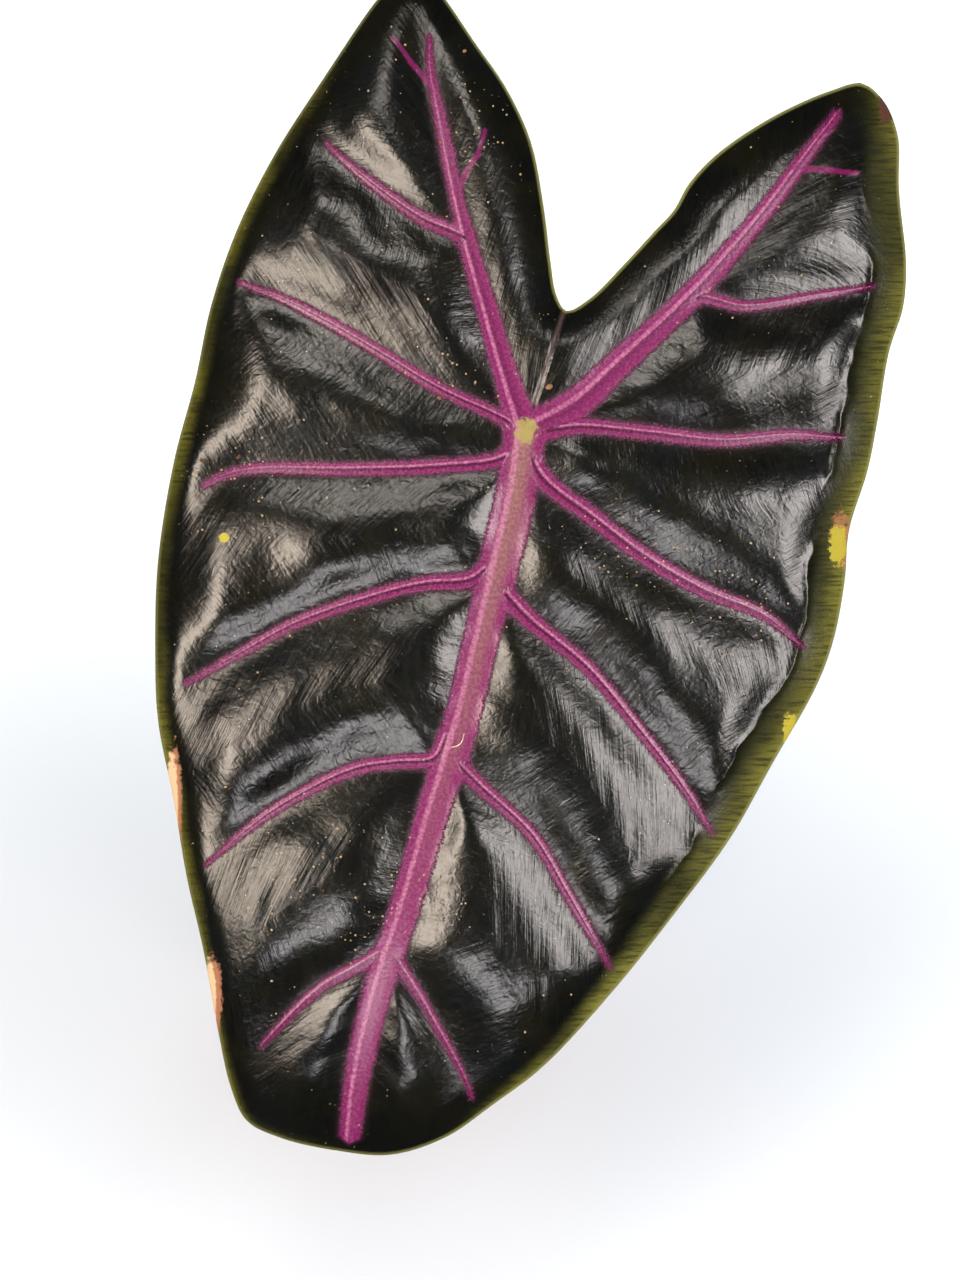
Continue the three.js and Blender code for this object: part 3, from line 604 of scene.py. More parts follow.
def outerPanel(nameA, nameB, footRib, footSide):
    # The panel between two neighbouring veins, with what the shader needs to know about its points
    a, b = panelSide(nameA), panelSide(nameB)
    along = (a["shares"] + b["shares"]) / 2
    width = np.linalg.norm(a["points"] - b["points"], axis=1)
    near = leafMesh["ribSteps"] * a["width"][:, None]
    far = (leafMesh["ribSteps"] * b["width"][:, None])[:, ::-1]
    across = spreadAcross(width, near, far, leafMesh["innerLines"])
    footShare = mix(a["foot"], b["foot"], across)
    start = ribPoint(footRib, footShare, footSide) if footRib else np.zeros(across.shape + (2,))
    end = outline.at(mix(a["end"], b["end"], across))
    points = coons(a["points"], b["points"], start, end, along, across)
    fromFoot = along * (a["run"][-1] - a["run"][0] + b["run"][-1] - b["run"][0]) / 2
    footGap = np.broadcast_to(fromFoot[:, None], across.shape) if footRib else 0 * across + noFoot
    return {
        "points": points, "footShare": footShare[0], "run": mix(a["run"][:, None], b["run"][:, None], across),
        "footRun": footShare * (veins[footRib]["path"].length if footRib else 0), "footGap": footGap,
    }


def innerPanel(name, crest, startShare):
    # The panel between a lobe's rib, the fold from the junction to the sinus, and the lobe's inner margin
    vein = veins[name]
    gaps = np.concatenate([[0], np.linalg.norm(np.diff(crest, axis=0), axis=1)])
    along = np.cumsum(gaps) / gaps.sum()
    margin = outline.at(mix(startShare, vein["endShare"], along))
    near = leafMesh["ribSteps"] * (vein["rib"][0] * thinned(along))[:, None]
    far = np.broadcast_to(leafMesh["marginSteps"], (len(along), len(leafMesh["marginSteps"])))
    across = spreadAcross(np.linalg.norm(crest - margin, axis=1), near, far, leafMesh["lobeLines"])
    start = mix(np.zeros(2), outline.at(startShare), across[..., None])
    end = np.broadcast_to(crest[-1], start.shape)
    points = coons(crest, margin, start, end, along, across)
    run = np.broadcast_to((along * vein["path"].length)[:, None], across.shape)
    return {"points": points, "run": run, "footRun": 0 * run, "footGap": 0 * run + noFoot}


def leafPanels():
    tip = spokes.index("midrib")
    panels = [
        outerPanel(spokes[i], spokes[i + 1], footRibs[i], 1 if i < tip else -1) for i in range(len(footRibs))
    ]
    rightEnd, rightBase, leftBase, leftEnd = panels[0], panels[1], panels[-2], panels[-1]
    rightCrest = np.vstack([rightBase["points"][0, ::-1], rightEnd["points"][1:, 0]])
    leftCrest = np.vstack([leftBase["points"][0], leftEnd["points"][1:, -1]])
    inner = [innerPanel("lobeRight", rightCrest, 0.0), innerPanel("lobeLeft", leftCrest, 1.0)]

    def feet(chosen):
        points = np.vstack([p["points"][0][1 if i else 0:] for i, p in enumerate(chosen)])
        return points, np.concatenate([p["footShare"][1 if i else 0:] for i, p in enumerate(chosen)])

    rightFeet, rightShares = feet(panels[tip - 4:tip])
    leftFeet, leftShares = feet(panels[tip:tip + 4])
    share = (rightShares + leftShares[::-1]) / 2
    crest = veins["midrib"]["path"].at(share)
    steps = np.array([1, 0.8, 0.55, 0.28])[None, :, None]
    right = mix(crest[:, None], rightFeet[:, None], steps)
    left = mix(crest[:, None], leftFeet[::-1][:, None], steps[:, ::-1])
    strip = np.concatenate([right, crest[:, None], left], axis=1)
    run = np.broadcast_to((share * veins["midrib"]["path"].length)[:, None], strip.shape[:2])
    ribStrip = {"points": strip, "run": run, "footRun": run, "footGap": 0 * run}
    return panels + inner + [ribStrip]


def leafSheet():
    # All panels as one sheet in the drawn plane, welded where they meet, its faces turned to the viewer
    points, faces, values, start = [], [], {"run": [], "footRun": [], "footGap": []}, 0
    for panel in leafPanels():
        rows, columns = panel["points"].shape[:2]
        points.append(panel["points"].reshape(-1, 2))
        faces.append(gridFaces(rows, columns, start=start))
        for key in values:
            values[key].append(np.asarray(panel[key]).reshape(-1))
        start += rows * columns
    points, faces = np.vstack(points), np.vstack(faces)
    _, first, welded = np.unique(np.round(points, 3), axis=0, return_index=True, return_inverse=True)
    points, faces = points[first], welded.reshape(-1)[faces]
    values = {key: np.concatenate(value)[first] for key, value in values.items()}
    triangles = np.vstack([faces[:, [0, 1, 2]], faces[:, [0, 2, 3]]])
    a, b, c = points[triangles].transpose(1, 0, 2)
    turn = (b[:, 0] - a[:, 0]) * (c[:, 1] - a[:, 1]) - (b[:, 1] - a[:, 1]) * (c[:, 0] - a[:, 0])
    triangles = np.where((turn > 0)[:, None], triangles, triangles[:, ::-1])
    different = (triangles[:, 0] != triangles[:, 1]) & (triangles[:, 1] != triangles[:, 2])
    return points, triangles[different & (triangles[:, 0] != triangles[:, 2])], values


def veinFields(points):
    # For each point: the gap to the nearest vein line, as it is and soft, how deep the ribs stand out behind
    # it, the distance to the edge of the coloured bands (smoothly joined where bands meet), where it lies
    # across its band, and how much of a main rib its vein is
    gaps, drop = [], np.zeros(len(points))
    edges, crossings, mains = [], [], []
    for name, vein in veins.items():
        gap, share, side = distanceTo(points, vein["path"].at(np.linspace(0, 1, 60)))
        gaps.append(gap)
        ribWidth, ribDepth = vein["rib"][0] * thinned(share), vein["rib"][1] * thinned(share)
        drop = np.maximum(drop, ribDrop(gap, ribWidth, ribDepth))
        reached = share / vein["bandEnd"]
        half = np.interp(reached, np.linspace(0, 1, len(vein["band"])), vein["band"])
        beyond = np.maximum(0, share - vein["bandEnd"]) * vein["path"].length
        edges.append(gap - half + 1.6 * beyond)
        crossings.append(side * vein["upper"] * gap / np.maximum(half, 0.3))
        mains.append(np.full(len(points), mainRibs.get(name, 0.0)))
    edges, gaps = np.array(edges), np.array(gaps)
    nearest, soft = gaps.min(0), ((gaps + 1.5) ** -4.0).sum(0) ** -0.25 - 1.5
    chosen, row = edges.argmin(0), np.arange(len(points))
    joined = -0.9 * np.log(np.exp(-np.clip(edges, -12, 40) / 0.9).sum(0))
    return nearest, soft, drop, joined, np.array(crossings)[chosen, row], np.array(mains)[chosen, row]


def leafHeight(points, margin, nearest, soft, values):
    # Panels swell between the veins, the margin rolls back, the sides sag, the tip and the lobes curl away,
    # and finer dents and pleats break up the panels
    x, y = points.T
    tipX, tipY = veins["midrib"]["points"][-1]
    length = math.hypot(tipX, tipY)
    down, aside = (x * tipX + y * tipY) / length, (x * tipY - y * tipX) / length
    swell = leaf["bulgeHeight"] * (1 - np.exp(-((np.maximum(soft, 0) / leaf["bulgeReach"]) ** 2)))
    swell = swell * smoothStep(0, leaf["bulgeFade"], margin)
    rollWidth = mix(leaf["leftRoll"], leaf["rightRoll"], smoothStep(-60, 60, x))
    roll = leaf["rollDepth"] * (1 - np.clip(margin / rollWidth, 0, 1)) ** 2
    sag = leaf["sideSag"] * (aside / leaf["sideSpan"]) ** 2
    tip = leaf["tipBend"] * np.maximum(0, (down - leaf["tipFrom"]) / leaf["tipReach"]) ** 2
    lobes = leaf["lobeBend"] * np.maximum(0, (-down - leaf["lobeFrom"]) / leaf["lobeReach"]) ** 2
    turn = np.arctan2(y - leaf["waveCentre"][1], x - leaf["waveCentre"][0])
    wave = leaf["waveHeight"] * np.sin(leaf["waveCount"] * turn)
    wave = wave * (1 - smoothStep(0, leaf["waveReach"], margin))
    inside = smoothStep(3, 13, nearest) * smoothStep(2, 18, margin)
    dents = leaf["undulation"] * (softNoise(points, 23, 3) + 0.25 * softNoise(points + 300, 10, 4))
    lean = values["run"] - 0.6 * nearest - 0.006 * nearest**2
    pleat = softNoise(np.stack([lean / 5.5, nearest / 26], -1) + 40, 1.0, 5)
    footLean = values["footRun"] + 0.5 * values["footGap"]
    footPleat = softNoise(np.stack([footLean / 6, values["footGap"] / 24], -1) + 90, 1.0, 6)
    nearFoot = np.exp(-((values["footGap"] / 20) ** 2))
    pleats = leaf["pleats"] * mix(pleat, 1.8 * footPleat, nearFoot)
    pleats = pleats * smoothStep(2.5, 9, nearest) * smoothStep(4, 14, margin)
    return swell - roll - sag - tip - lobes + wave + dents * inside + pleats


def leafPlace(flat):
    # From the leaf's own frame to the part's: turned about X by its lean and moved to the junction
    x, y, z = flat.T
    c, s = math.cos(leanAngle), math.sin(leanAngle)
    return np.stack([x, y * c - z * s, y * s + z * c], -1) + np.array(leaf["junction"])


leafLook = {
    # the warm grey streak colour is painted sheen along the silk
    "dark": rgb(3, 4, 3), "olive": rgb(11, 11, 3), "blue": rgb(5, 9, 10), "sheenStreak": rgb(15, 14, 10),
    # the deep magenta is painted shade below each vein's crest
    "magenta": rgb(92, 12, 66), "mottle": rgb(112, 30, 80), "shadeBelowCrest": rgb(60, 2, 40), "fringe": rgb(94, 7, 66),
    # the pale colour is partly the veins' own and partly painted highlight on their crests; it also colours
    # pale specks
    "pale": rgb(154, 94, 124), "halo": rgb(64, 18, 44), "tan": rgb(112, 80, 74),
    # the fold colour is a painted highlight along the fold from the junction to the sinus
    "junction": rgb(124, 116, 42), "fold": rgb(92, 74, 72),
    "border": rgb(33, 34, 3), "glow": rgb(98, 95, 24), "borderStreak": rgb(17, 19, 4),
    "rim": rgb(116, 116, 62), "yellow": rgb(150, 138, 34), "scar": rgb(184, 156, 120),
    "scarEdge": rgb(146, 92, 60), "brown": rgb(72, 40, 26), "dust": rgb(180, 170, 150),
    "grit": rgb(140, 116, 80),
    "back": rgb(104, 36, 62), "backShade": rgb(84, 40, 52), "backStreak": rgb(134, 62, 86),
    "backMargin": rgb(92, 88, 44), "backRib": rgb(160, 78, 108), "backRibTan": rgb(160, 108, 98),
}

# The spot at the junction, worn places on the margin and one small dot: colour, middle, half sizes, how
# uneven its edge is, and how much it covers
marks = [
    ("junction", (0.5, 0.5), (3.9, 4.2), 2.6, 0.8), ("scarEdge", (110.6, -38), (3.8, 9.4), 2.2, 0.75),
    ("yellow", (109.6, -39.5), (3.2, 7.0), 2.0, 1.0), ("yellow", (93, -104.2), (3.0, 5.4), 2.4, 1.0),
    ("scarEdge", (-122.6, -131), (2.7, 21), 1.2, 0.85), ("scarEdge", (-109, -198), (2.9, 15), 1.2, 0.85),
    ("scar", (-123.5, -132), (2.2, 20), 0.9, 1.0), ("scar", (-110.3, -199), (2.4, 14), 0.9, 1.0),
    ("yellow", (-105.3, -37), (1.9, 1.9), 0.8, 0.9), ("brown", (127.6, 114), (4.4, 6.5), 2.2, 0.95),
]

# Places where coarser grit has gathered: middle and half sizes
gritSpots = [
    ((-22, 18), (17, 11)), ((-17, 104), (10, 20)), ((-60, -160), (36, 22)), ((-100, -8), (16, 18)),
    ((44, -42), (26, 20)), ((72, -66), (24, 16)),
]


def leafFields(tree):
    # What the leaf's face is coloured from: places in millimetres, distances, and the noise that they share
    skin = SimpleNamespace(drawn=surfacePlace(tree))
    skin.x, skin.y, _ = split(skin.drawn)
    for name in ("bandEdge", "bandCross", "mainRib", "margin", "run", "away", "footRun", "footGap"):
        setattr(skin, name, pointValue(tree, name))
    # the silk follows the secondary veins, which lean outwards from each vein:
    # run - away * (0.006 * away + 0.6)
    sideWay = join(skin.run - skin.away * (skin.away * 0.006 + 0.6), skin.away * 0.12)
    footWay = join(skin.footGap * 0.5 + skin.footRun, skin.footGap * 0.12)
    nearFoot = ramp(skin.footGap, 30.0, 8.0)
    silky = lambda scale: blend(nearFoot, grain(sideWay, scale, 3.0, 0.6), grain(footWay, scale, 3.0, 0.6))
    skin.broad, skin.silk = silky(0.42), silky(1.3)
    skin.cloudy = grain(skin.drawn, 0.045, 3.0, 0.55, 0.4)
    skin.pores = grain(skin.drawn, 2.4, 2.0, 0.6)
    skin.mottled = grain(skin.drawn, 0.8, 3.0, 0.6)
    return skin


def addBorderFields(skin):
    # The border beyond the crease is wide on the right, and narrow on the left and low down
    skin.reach = ramp(skin.x, -60.0, 60.0, 4.0, 12.0) * ramp(skin.y, -215.0, -120.0, 0.5, 1.0)
    skin.border = ramp(skin.cloudy * 5.0 + (skin.margin - 2.5) - skin.reach, 2.0, -4.0)
    skin.outer = vectorMath("DOT_PRODUCT", skin.drawn, (0.93, -0.36, 0), output="Value")
    onSides = largest([ramp(skin.outer, 62.0, 84.0), ramp(skin.x, -60.0, -90.0, 0.0, 0.75)])
    skin.borderShare = skin.border * onSides


def addBandFields(skin):
    # The coloured bands along the veins, with a fuzzy edge, and the pale line above the middle of each,
    # partly the vein's own colour and partly a painted highlight on its crest
    skin.fuzz = (skin.silk - 0.5) * 3.5 + (grain(skin.drawn, 1.7, 4.0, 0.75) - 0.5) * 5.0
    skin.ragged = skin.bandEdge + skin.fuzz
    skin.band = ramp(skin.ragged, 0.75, -0.6)
    # where the pale line is painted: partly the vein's own colour, partly painted highlight on its crest
    skin.line = ramp(abs(skin.bandCross - blend(skin.mainRib, 0.28, 0.34)), 0.24, 0.06)


def addCreaseFields(skin):
    # The crease where the right margin starts to roll back, 1 / (off² + 1), and the fold from the junction
    # to the sinus, along which a pale line is painted as a highlight
    creaseAt = grain(skin.drawn, 0.05, 2.0) * 9.0 + (skin.reach - 4.4)
    off = (skin.margin - creaseAt) * 0.75
    share = ramp(skin.outer, 70.0, 92.0) * ramp(skin.y, -205.0, -170.0)
    share = share * ramp(grain(skin.drawn, 0.035, 1.0), 0.36, 0.52)
    skin.crease = calc("DIVIDE", 1.0, off * off + 1.0) * share
    skin.fold = ramp(stepGap(skin.drawn, (0, 0), (13.5, 42)), 1.5, 0.0)


def panelTone(skin):
    # Near black, clouded with olive and blue, with painted sheen in paler streaks along the silk
    tone = tint(ramp(skin.cloudy, 0.42, 0.62), leafLook["dark"], leafLook["olive"])
    tone = tint(ramp(grain(skin.drawn, 0.03, 2.0), 0.5, 0.66, 0.0, 0.8), tone, leafLook["blue"])
    # painted sheen: paler streaks along the silk
    return tint(ramp(skin.silk, 0.35, 0.7, 0.0, 0.45), tone, leafLook["sheenStreak"])


def borderTone(skin):
    # Olive, lit through in places, with darker streaks across it
    lit = ramp(grain(skin.drawn, 0.022, 2.0), 0.36, 0.62, 0.2, 1.0) * ramp(skin.margin, 11.0, 0.0)
    streaks = grain(stretch(skin.drawn, 0.1, 1.0, 0), 1.0, 3.0, 0.6)
    tone = tint(lit, leafLook["border"], leafLook["glow"])
    return tint(ramp(streaks, 0.42, 0.66, 0.0, 0.7), tone, leafLook["borderStreak"])


def bandTone(skin):
    # Magenta with a deep line of painted shade below its middle and a pale line above it, partly the vein's
    # own colour and partly painted highlight; the midrib turns tan near the junction
    # painted shade: a darker strip just below the middle of each side vein's band
    shadedBelow = ramp(abs(skin.bandCross + 0.1), 0.34, 0.1)
    tone = tint(ramp(skin.mottled, 0.35, 0.7, 0.0, 0.5), leafLook["magenta"], leafLook["mottle"])
    tone = tint(shadedBelow * (1.0 - skin.mainRib), tone, leafLook["shadeBelowCrest"])
    middle = ramp(abs(skin.bandCross), 0.85, 0.1) * ramp(skin.mainRib, 0.7, 1.0)
    middle = middle * ramp(skin.y, -190.0, 0.0, 0.12, 0.95) * ramp(skin.mottled, 0.3, 0.6, 0.5, 1.0)
    tone = tint(middle, tone, leafLook["tan"])
    # painted highlight in part: the pale line above the crest, with the vein's own pale colour
    tone = tint(skin.line * ramp(skin.mottled, 0.3, 0.68, 0.22, 0.75), tone, leafLook["pale"])
    tone = tint(ramp(skin.pores, 0.6, 0.74, 0.0, 0.28), tone, leafLook["pale"])
    return tint(ramp(skin.ragged, -1.5, -0.2, 0.0, 0.8), tone, leafLook["fringe"])


def withSpurs(skin, tone):
    # Each spur is a row of straight steps that narrows from wide to narrow
    for steps, wide, narrow in spurs:
        for i, (start, end) in enumerate(zip(steps, steps[1:])):
            half = mix(wide, narrow, (i + 0.5) / (len(steps) - 1))
            near = ramp(stepGap(skin.drawn, start, end) + skin.fuzz * 0.4, half + 0.7, half - 0.3)
            tone = tint(near * 0.85, tone, leafLook["magenta"])
    return tone


def spotAt(drawn, middle, size, rough, uneven):
    return useGroup(spot, Place=drawn, Centre=(*middle, 0), Size=(*size, 1), Grain=rough, Uneven=uneven)


def withMarks(skin, tone):
    rough = grain(skin.drawn, 0.42, 3.0, 0.7)
    masks = []
    for colour, middle, size, uneven, share in marks:
        masks.append(spotAt(skin.drawn, middle, size, rough, uneven))
        tone = tint(masks[-1] * share, tone, leafLook[colour])
    return tone, largest(masks)


def withDust(skin, tone):
    # Fine dust that has settled in clouds, and coarser grit in the places where it has gathered
    settled = ramp(grain(skin.drawn, 0.02, 2.0), 0.44, 0.62, 0.12, 0.5)
    dust = useGroup(specks, Place=skin.drawn, Density=0.6, Share=settled, Size=0.085)
    gathered = largest([spotAt(skin.drawn, middle, size, skin.cloudy, 2.5) for middle, size in gritSpots])
    grit = useGroup(specks, Place=skin.drawn, Density=0.62, Share=gathered * 0.3 + 0.015, Size=0.26)
    tone = tint(dust * 0.65, tone, leafLook["dust"])
    return tint(grit * 0.85, tone, leafLook["grit"]), largest([dust, grit])


def faceRelief(skin):
    # In millimetres: silk and pores in the panels, ribs at the border, and in each band a round vein with a
    # raised line
    crinkle = grain(skin.drawn, 0.34, 2.0, 0.5, 0.8)
    crossRibs = grain(skin.drawn, 0.9, 2.0, 0.5, 1.5) * skin.border
    panel = skin.broad * 0.17 + skin.silk * 0.05 + crinkle * 0.16 + skin.pores * 0.008
    panel = panel + skin.crease * 0.9 + skin.fold * -0.35 + crossRibs * 0.1
    vault = ramp(abs(skin.bandCross), 1.15, 0.0) * 0.34
    return panel * (1.0 - skin.band) + (skin.line * 0.06 + vault + skin.mottled * 0.14) * skin.band


def leafFaceMaterial():
    material, tree, shader = makeMaterial("leafFace", IOR=1.53)
    skin = leafFields(tree)
    addBorderFields(skin)
    addBandFields(skin)
    addCreaseFields(skin)
    tone = tint(skin.borderShare, panelTone(skin), borderTone(skin))
    # painted highlight: a pale line along the fold from the junction to the sinus
    tone = tint(skin.fold * 0.35, tone, leafLook["fold"])
    tone = tint(ramp(skin.ragged, 2.4, -0.3) * 0.4, tone, leafLook["halo"])
    tone = withSpurs(skin, tint(skin.band, tone, bandTone(skin)))
    rim = ramp(skin.margin, 1.5, 0.3) * ramp(skin.x, -110.0, 60.0, 0.45, 0.85)
    tone = tint(rim, tone, leafLook["rim"])
    tone, dry = withMarks(skin, tone)
    tone, dusty = withDust(skin, tone)
    gloss = blend(skin.band, skin.silk * 0.18 + 0.13, skin.mottled * 0.2 + 0.17)
    gloss = blend(largest([dry, dusty]), gloss, 0.7)
    feedShader(shader, tone, faceRelief(skin), 1.0, roughness=blend(skin.borderShare, gloss, 0.42))
    return material


def undersideMaterial():
    material, tree, shader = makeMaterial("leafUnderside", IOR=1.45)
    drawn = surfacePlace(tree)
    edge, margin, run, away = [pointValue(tree, name) for name in ("bandEdge", "margin", "run", "away")]
    silk = grain(join(run - away * 0.75, away * 0.12), 0.9, 3.0, 0.6)
    mottled = grain(drawn, 0.7, 3.0, 0.6)
    tone = tint(ramp(grain(drawn, 0.06, 3.0), 0.35, 0.65), leafLook["back"], leafLook["backShade"])
    tone = tint(ramp(silk, 0.45, 0.7, 0.0, 0.55), tone, leafLook["backStreak"])
    tone = tint(ramp(margin, 14.0, 0.0, 0.0, 0.8), tone, leafLook["backMargin"])
    ribTone = tint(ramp(mottled, 0.35, 0.65), leafLook["backRib"], leafLook["backRibTan"])
    tone = tint(ramp(edge, 1.2, -0.8), tone, ribTone)
    feedShader(shader, tone, mottled * 0.15 + silk, 0.3, roughness=silk * 0.2 + 0.3)
    return material


def makeLeaf():
    # The sheet and its back, which share their rim; both lie in the drawn plane first and are then turned
    points, triangles, values = leafSheet()
    margin = distanceTo(points, outline.at(np.linspace(0, 1, 481)))[0]
    nearest, soft, drop, bandEdge, bandCross, mainRib = veinFields(points)
    z = leafHeight(points, margin, nearest, soft, values)
    centre = np.array(leaf["drawnAt"])
    placed = centre + (points - centre) * (1 - z / leaf["drawnFrom"])[:, None]
    half = leaf["thickness"] / 2
    inset = np.clip(1 - margin / (0.9 * half), 0, 1)
    edgeHalf = half * np.sqrt(1 - inset**2)  # the rim is rounded off
    boss = 1 - smoothStep(leaf["bossRadius"], leaf["bossFlare"], np.hypot(*points.T))
    backZ = mix(z - edgeHalf - drop * smoothStep(0, 6, margin), -leaf["bossDepth"], boss)
    front, back = np.column_stack([placed, z + edgeHalf]), np.column_stack([placed, backZ])
    count = len(points)
    backIndex = np.where(margin < 0.02, np.arange(count), np.arange(count) + count)
    faces = np.vstack([triangles, backIndex[triangles][:, ::-1]])
    used = np.unique(faces)
    renumber = np.full(2 * count, -1)
    renumber[used] = np.arange(len(used))
    values = {
        "margin": margin, "bandEdge": bandEdge, "bandCross": bandCross, "mainRib": mainRib, "away": nearest,
        **values,
    }
    makePiece(
        "leaf_blade_fine", leafPlace(np.vstack([front, back])[used]), renumber[faces],
        [leafFaceMaterial(), undersideMaterial()], ["leaf_blade"],
        uv=np.vstack([points, points])[used],
        values={label: np.concatenate([value, value])[used] for label, value in values.items()},
        slots=np.repeat([0, 1], len(triangles)),
    )
    print("leaf blade:", len(faces), "triangles")
    return points, leafPlace(front)


leafDrawn, leafFront = makeLeaf()


# Crumbs on the leaf

crumbs = {
    # drawn place in millimetres, size, colour: 0 tan, 1 brown
    "places": [((8.4, 15.4), 2.9, 0), ((-113.8, -10.5), 1.9, 1), ((-100.5, -8.8), 1.7, 1),
               ((-22, 133), 1.4, 0), ((-16.5, 104), 1.5, 1), ((-29.5, 101), 1.2, 0),
               ((-30.5, 11.5), 1.6, 0), ((8.2, 8.4), 1.3, 1)],
    "tan": rgb(142, 102, 66), "brown": rgb(92, 56, 34), "pale": rgb(224, 206, 178),
    "hair": [(-26, -110), (-23.5, -109.5), (-22, -108), (-21.4, -105.5)],
}


def pebbles(places, sizes, turns, seed, around=8, rings=5, lumps=0.22):
    # Small stones or chips: a grid wrapped round a squashed ball, each with its own sizes, turn and dents
    dice = np.random.default_rng(seed)
    a = np.arange(around) / around * 2 * math.pi
    b = (np.arange(rings) + 1) / (rings + 1) * math.pi
    x, y, z = np.outer(np.sin(b), np.cos(a)), np.outer(np.sin(b), np.sin(a)), np.outer(np.cos(b), 0 * a + 1)
    grid = np.stack([x, y, z], -1)
    ball = np.vstack([grid.reshape(-1, 3), [[0, 0, 1], [0, 0, -1]]])
    boxy = np.sign(ball) * np.abs(ball) ** 0.7
    count = len(places)
    shapes = boxy * (1 + lumps * dice.uniform(-1, 1, (count, len(ball), 1))) * np.asarray(sizes)[:, None] / 2
    points = np.einsum("cij,cpj->cpi", turns, shapes) + np.asarray(places)[:, None]
    last = rings * around
    top = fanFaces(np.arange(around), last, flip=False)
    low = fanFaces(np.arange(around) + last - around, last + 1, flip=True)
    squares = gridFaces(rings, around, wrapColumns=True)[:, ::-1]
    step = (np.arange(count) * len(ball))[:, None, None]
    quads = (squares[None] + step).reshape(-1, 4)
    fans = (np.vstack([top, low])[None] + step).reshape(-1, 3)
    return points.reshape(-1, 3), quads.tolist() + fans.tolist()


def randomTurns(count, tilt, seed):
    # Turns about Z by any angle after a tip of up to tilt degrees about X and Y
    dice = np.random.default_rng(seed)
    spin = dice.uniform(0, 2 * math.pi, count)
    x, y = np.radians(dice.uniform(-tilt, tilt, (2, count)))
    one, none = np.ones(count), np.zeros(count)
    build = lambda rows: np.stack([np.stack(row, -1) for row in rows], 1)
    cx, sx, cy, sy, cz, sz = np.cos(x), np.sin(x), np.cos(y), np.sin(y), np.cos(spin), np.sin(spin)
    aboutX = build([(one, none, none), (none, cx, -sx), (none, sx, cx)])
    aboutY = build([(cy, none, sy), (none, one, none), (-sy, none, cy)])
    aboutZ = build([(cz, -sz, none), (sz, cz, none), (none, none, one)])
    return aboutZ @ aboutX @ aboutY


def tubeAlong(path, radii, rows, columns):
    # A round tube carried along a path, closed with a fan at each end
    share = np.linspace(0, 1, rows)
    middle, heading = path.at(share), path.heading(share)
    side = np.cross(heading, [0.13, 0.31, 0.94])
    side /= np.linalg.norm(side, axis=1, keepdims=True)
    other = np.cross(heading, side)
    angle = np.arange(columns) / columns * 2 * math.pi
    radius = np.interp(share, np.linspace(0, 1, len(radii)), radii)[:, None, None]
    round_ = side[:, None] * np.cos(angle)[None, :, None] + other[:, None] * np.sin(angle)[None, :, None]
    points = (middle[:, None] + radius * round_).reshape(-1, 3)
    points = np.vstack([points, middle[:1], middle[-1:]])
    return points, tubeFaces(rows, columns)


def onLeaf(drawn, lift):
    # The place on the leaf's face at a drawn point, lifted off it along its facing
    return leafFront[np.hypot(*(leafDrawn - drawn).T).argmin()] + lift * leafFacing


def crumbMaterial(name, colour):
    material, tree, shader = makeMaterial(name, Roughness=0.8)
    place = objectPlace(tree)
    tone = tint(grain(place, 900.0, 3.0), colour, darker(colour, 0.35))
    feedShader(shader, tone, grain(place, 1500.0, 3.0), 0.3)
    return material


def makeCrumbs():
    kinds = np.array([kind for _, _, kind in crumbs["places"]])
    sizes = np.array([[size, size * 0.72, size * 0.6] for _, size, _ in crumbs["places"]])
    places = np.array([onLeaf(drawn, size * 0.2) for drawn, size, _ in crumbs["places"]])
    points, faces = pebbles(places, sizes, randomTurns(len(places), 70, 21), 22, around=10, rings=6)
    perPiece = len(points) // len(places)
    slots = np.array([kinds[face[0] // perPiece] for face in faces])
    materials = [crumbMaterial("crumbTan", crumbs["tan"]), crumbMaterial("crumbBrown", crumbs["brown"])]
    makePiece("leaf_crumbs", points, faces, materials, slots=slots)


def makeHair():
    path = SmoothCurve([onLeaf(drawn, 0.25) for drawn in crumbs["hair"]])
    points, faces = tubeAlong(path, [0.12, 0.2, 0.1], 24, 6)
    makePiece("leaf_hair", points, faces, [crumbMaterial("paleHair", crumbs["pale"])])


makeCrumbs()
makeHair()
print("crumbs placed")


# Stalk and papery scale

seat = 0.3
stalk = {
    "foot": 121.3, "baseRadius": 9.2, "neckRadius": 5.4, "topRadius": 6.6,
    "wingReach": 0.36, "wingHeight": 0.34,
    "wingTurn": 0.6,  # how far each wing stands from the front, in radians
    "rows": 190, "columns": 56,
    "low": rgb(96, 52, 56), "high": rgb(112, 78, 66), "mottle": rgb(52, 26, 34), "green": rgb(104, 104, 62),
    "neck": rgb(118, 70, 84), "ridge": rgb(150, 118, 100),
}
papery = {
    "length": 58, "wall": 0.62, "clearance": 0.5, "flare": 1.2, "halfSpan": 118, "rows": 84, "columns": 80,
    "light": rgb(166, 122, 80), "dark": rgb(92, 58, 38),
    "thread": rgb(196, 160, 116), "foot": rgb(66, 44, 32),
}


def stalkCourse():
    # From the rhizome's top up to the boss behind the blade, which it meets square on
    end = np.array(leaf["junction"]) - (leaf["bossDepth"] + seat) * leafFacing
    foot = stalk["foot"]
    points = [
        (0, 0, foot), (0.4, -0.6, foot + 13.7), (6, -13, 180), (20, -42, 243), (37, -80, 304),
        (50, -112, 345), end - 13 * leafFacing, end - 4 * leafFacing, end,
    ]
    return SmoothCurve(points, steps=60)


stalkPath = stalkCourse()


def stalkFrames(share):
    # At shares of the stalk's length: its middle, and the two directions across it, right and back
    along = stalkPath.heading(share)
    along[share <= 0] = (0, 0, 1)
    along[share >= 1] = leafFacing
    right = np.array([1.0, 0, 0]) - along * along[:, :1]
    right /= np.linalg.norm(right, axis=1, keepdims=True)
    return stalkPath.at(share), right, np.cross(along, right)


def stalkRadius(share):
    taper = mix(stalk["baseRadius"], stalk["neckRadius"], np.clip(share, 0, 1) ** 0.8)
    return taper + (stalk["topRadius"] - stalk["neckRadius"]) * smoothStep(0.9, 1, share)


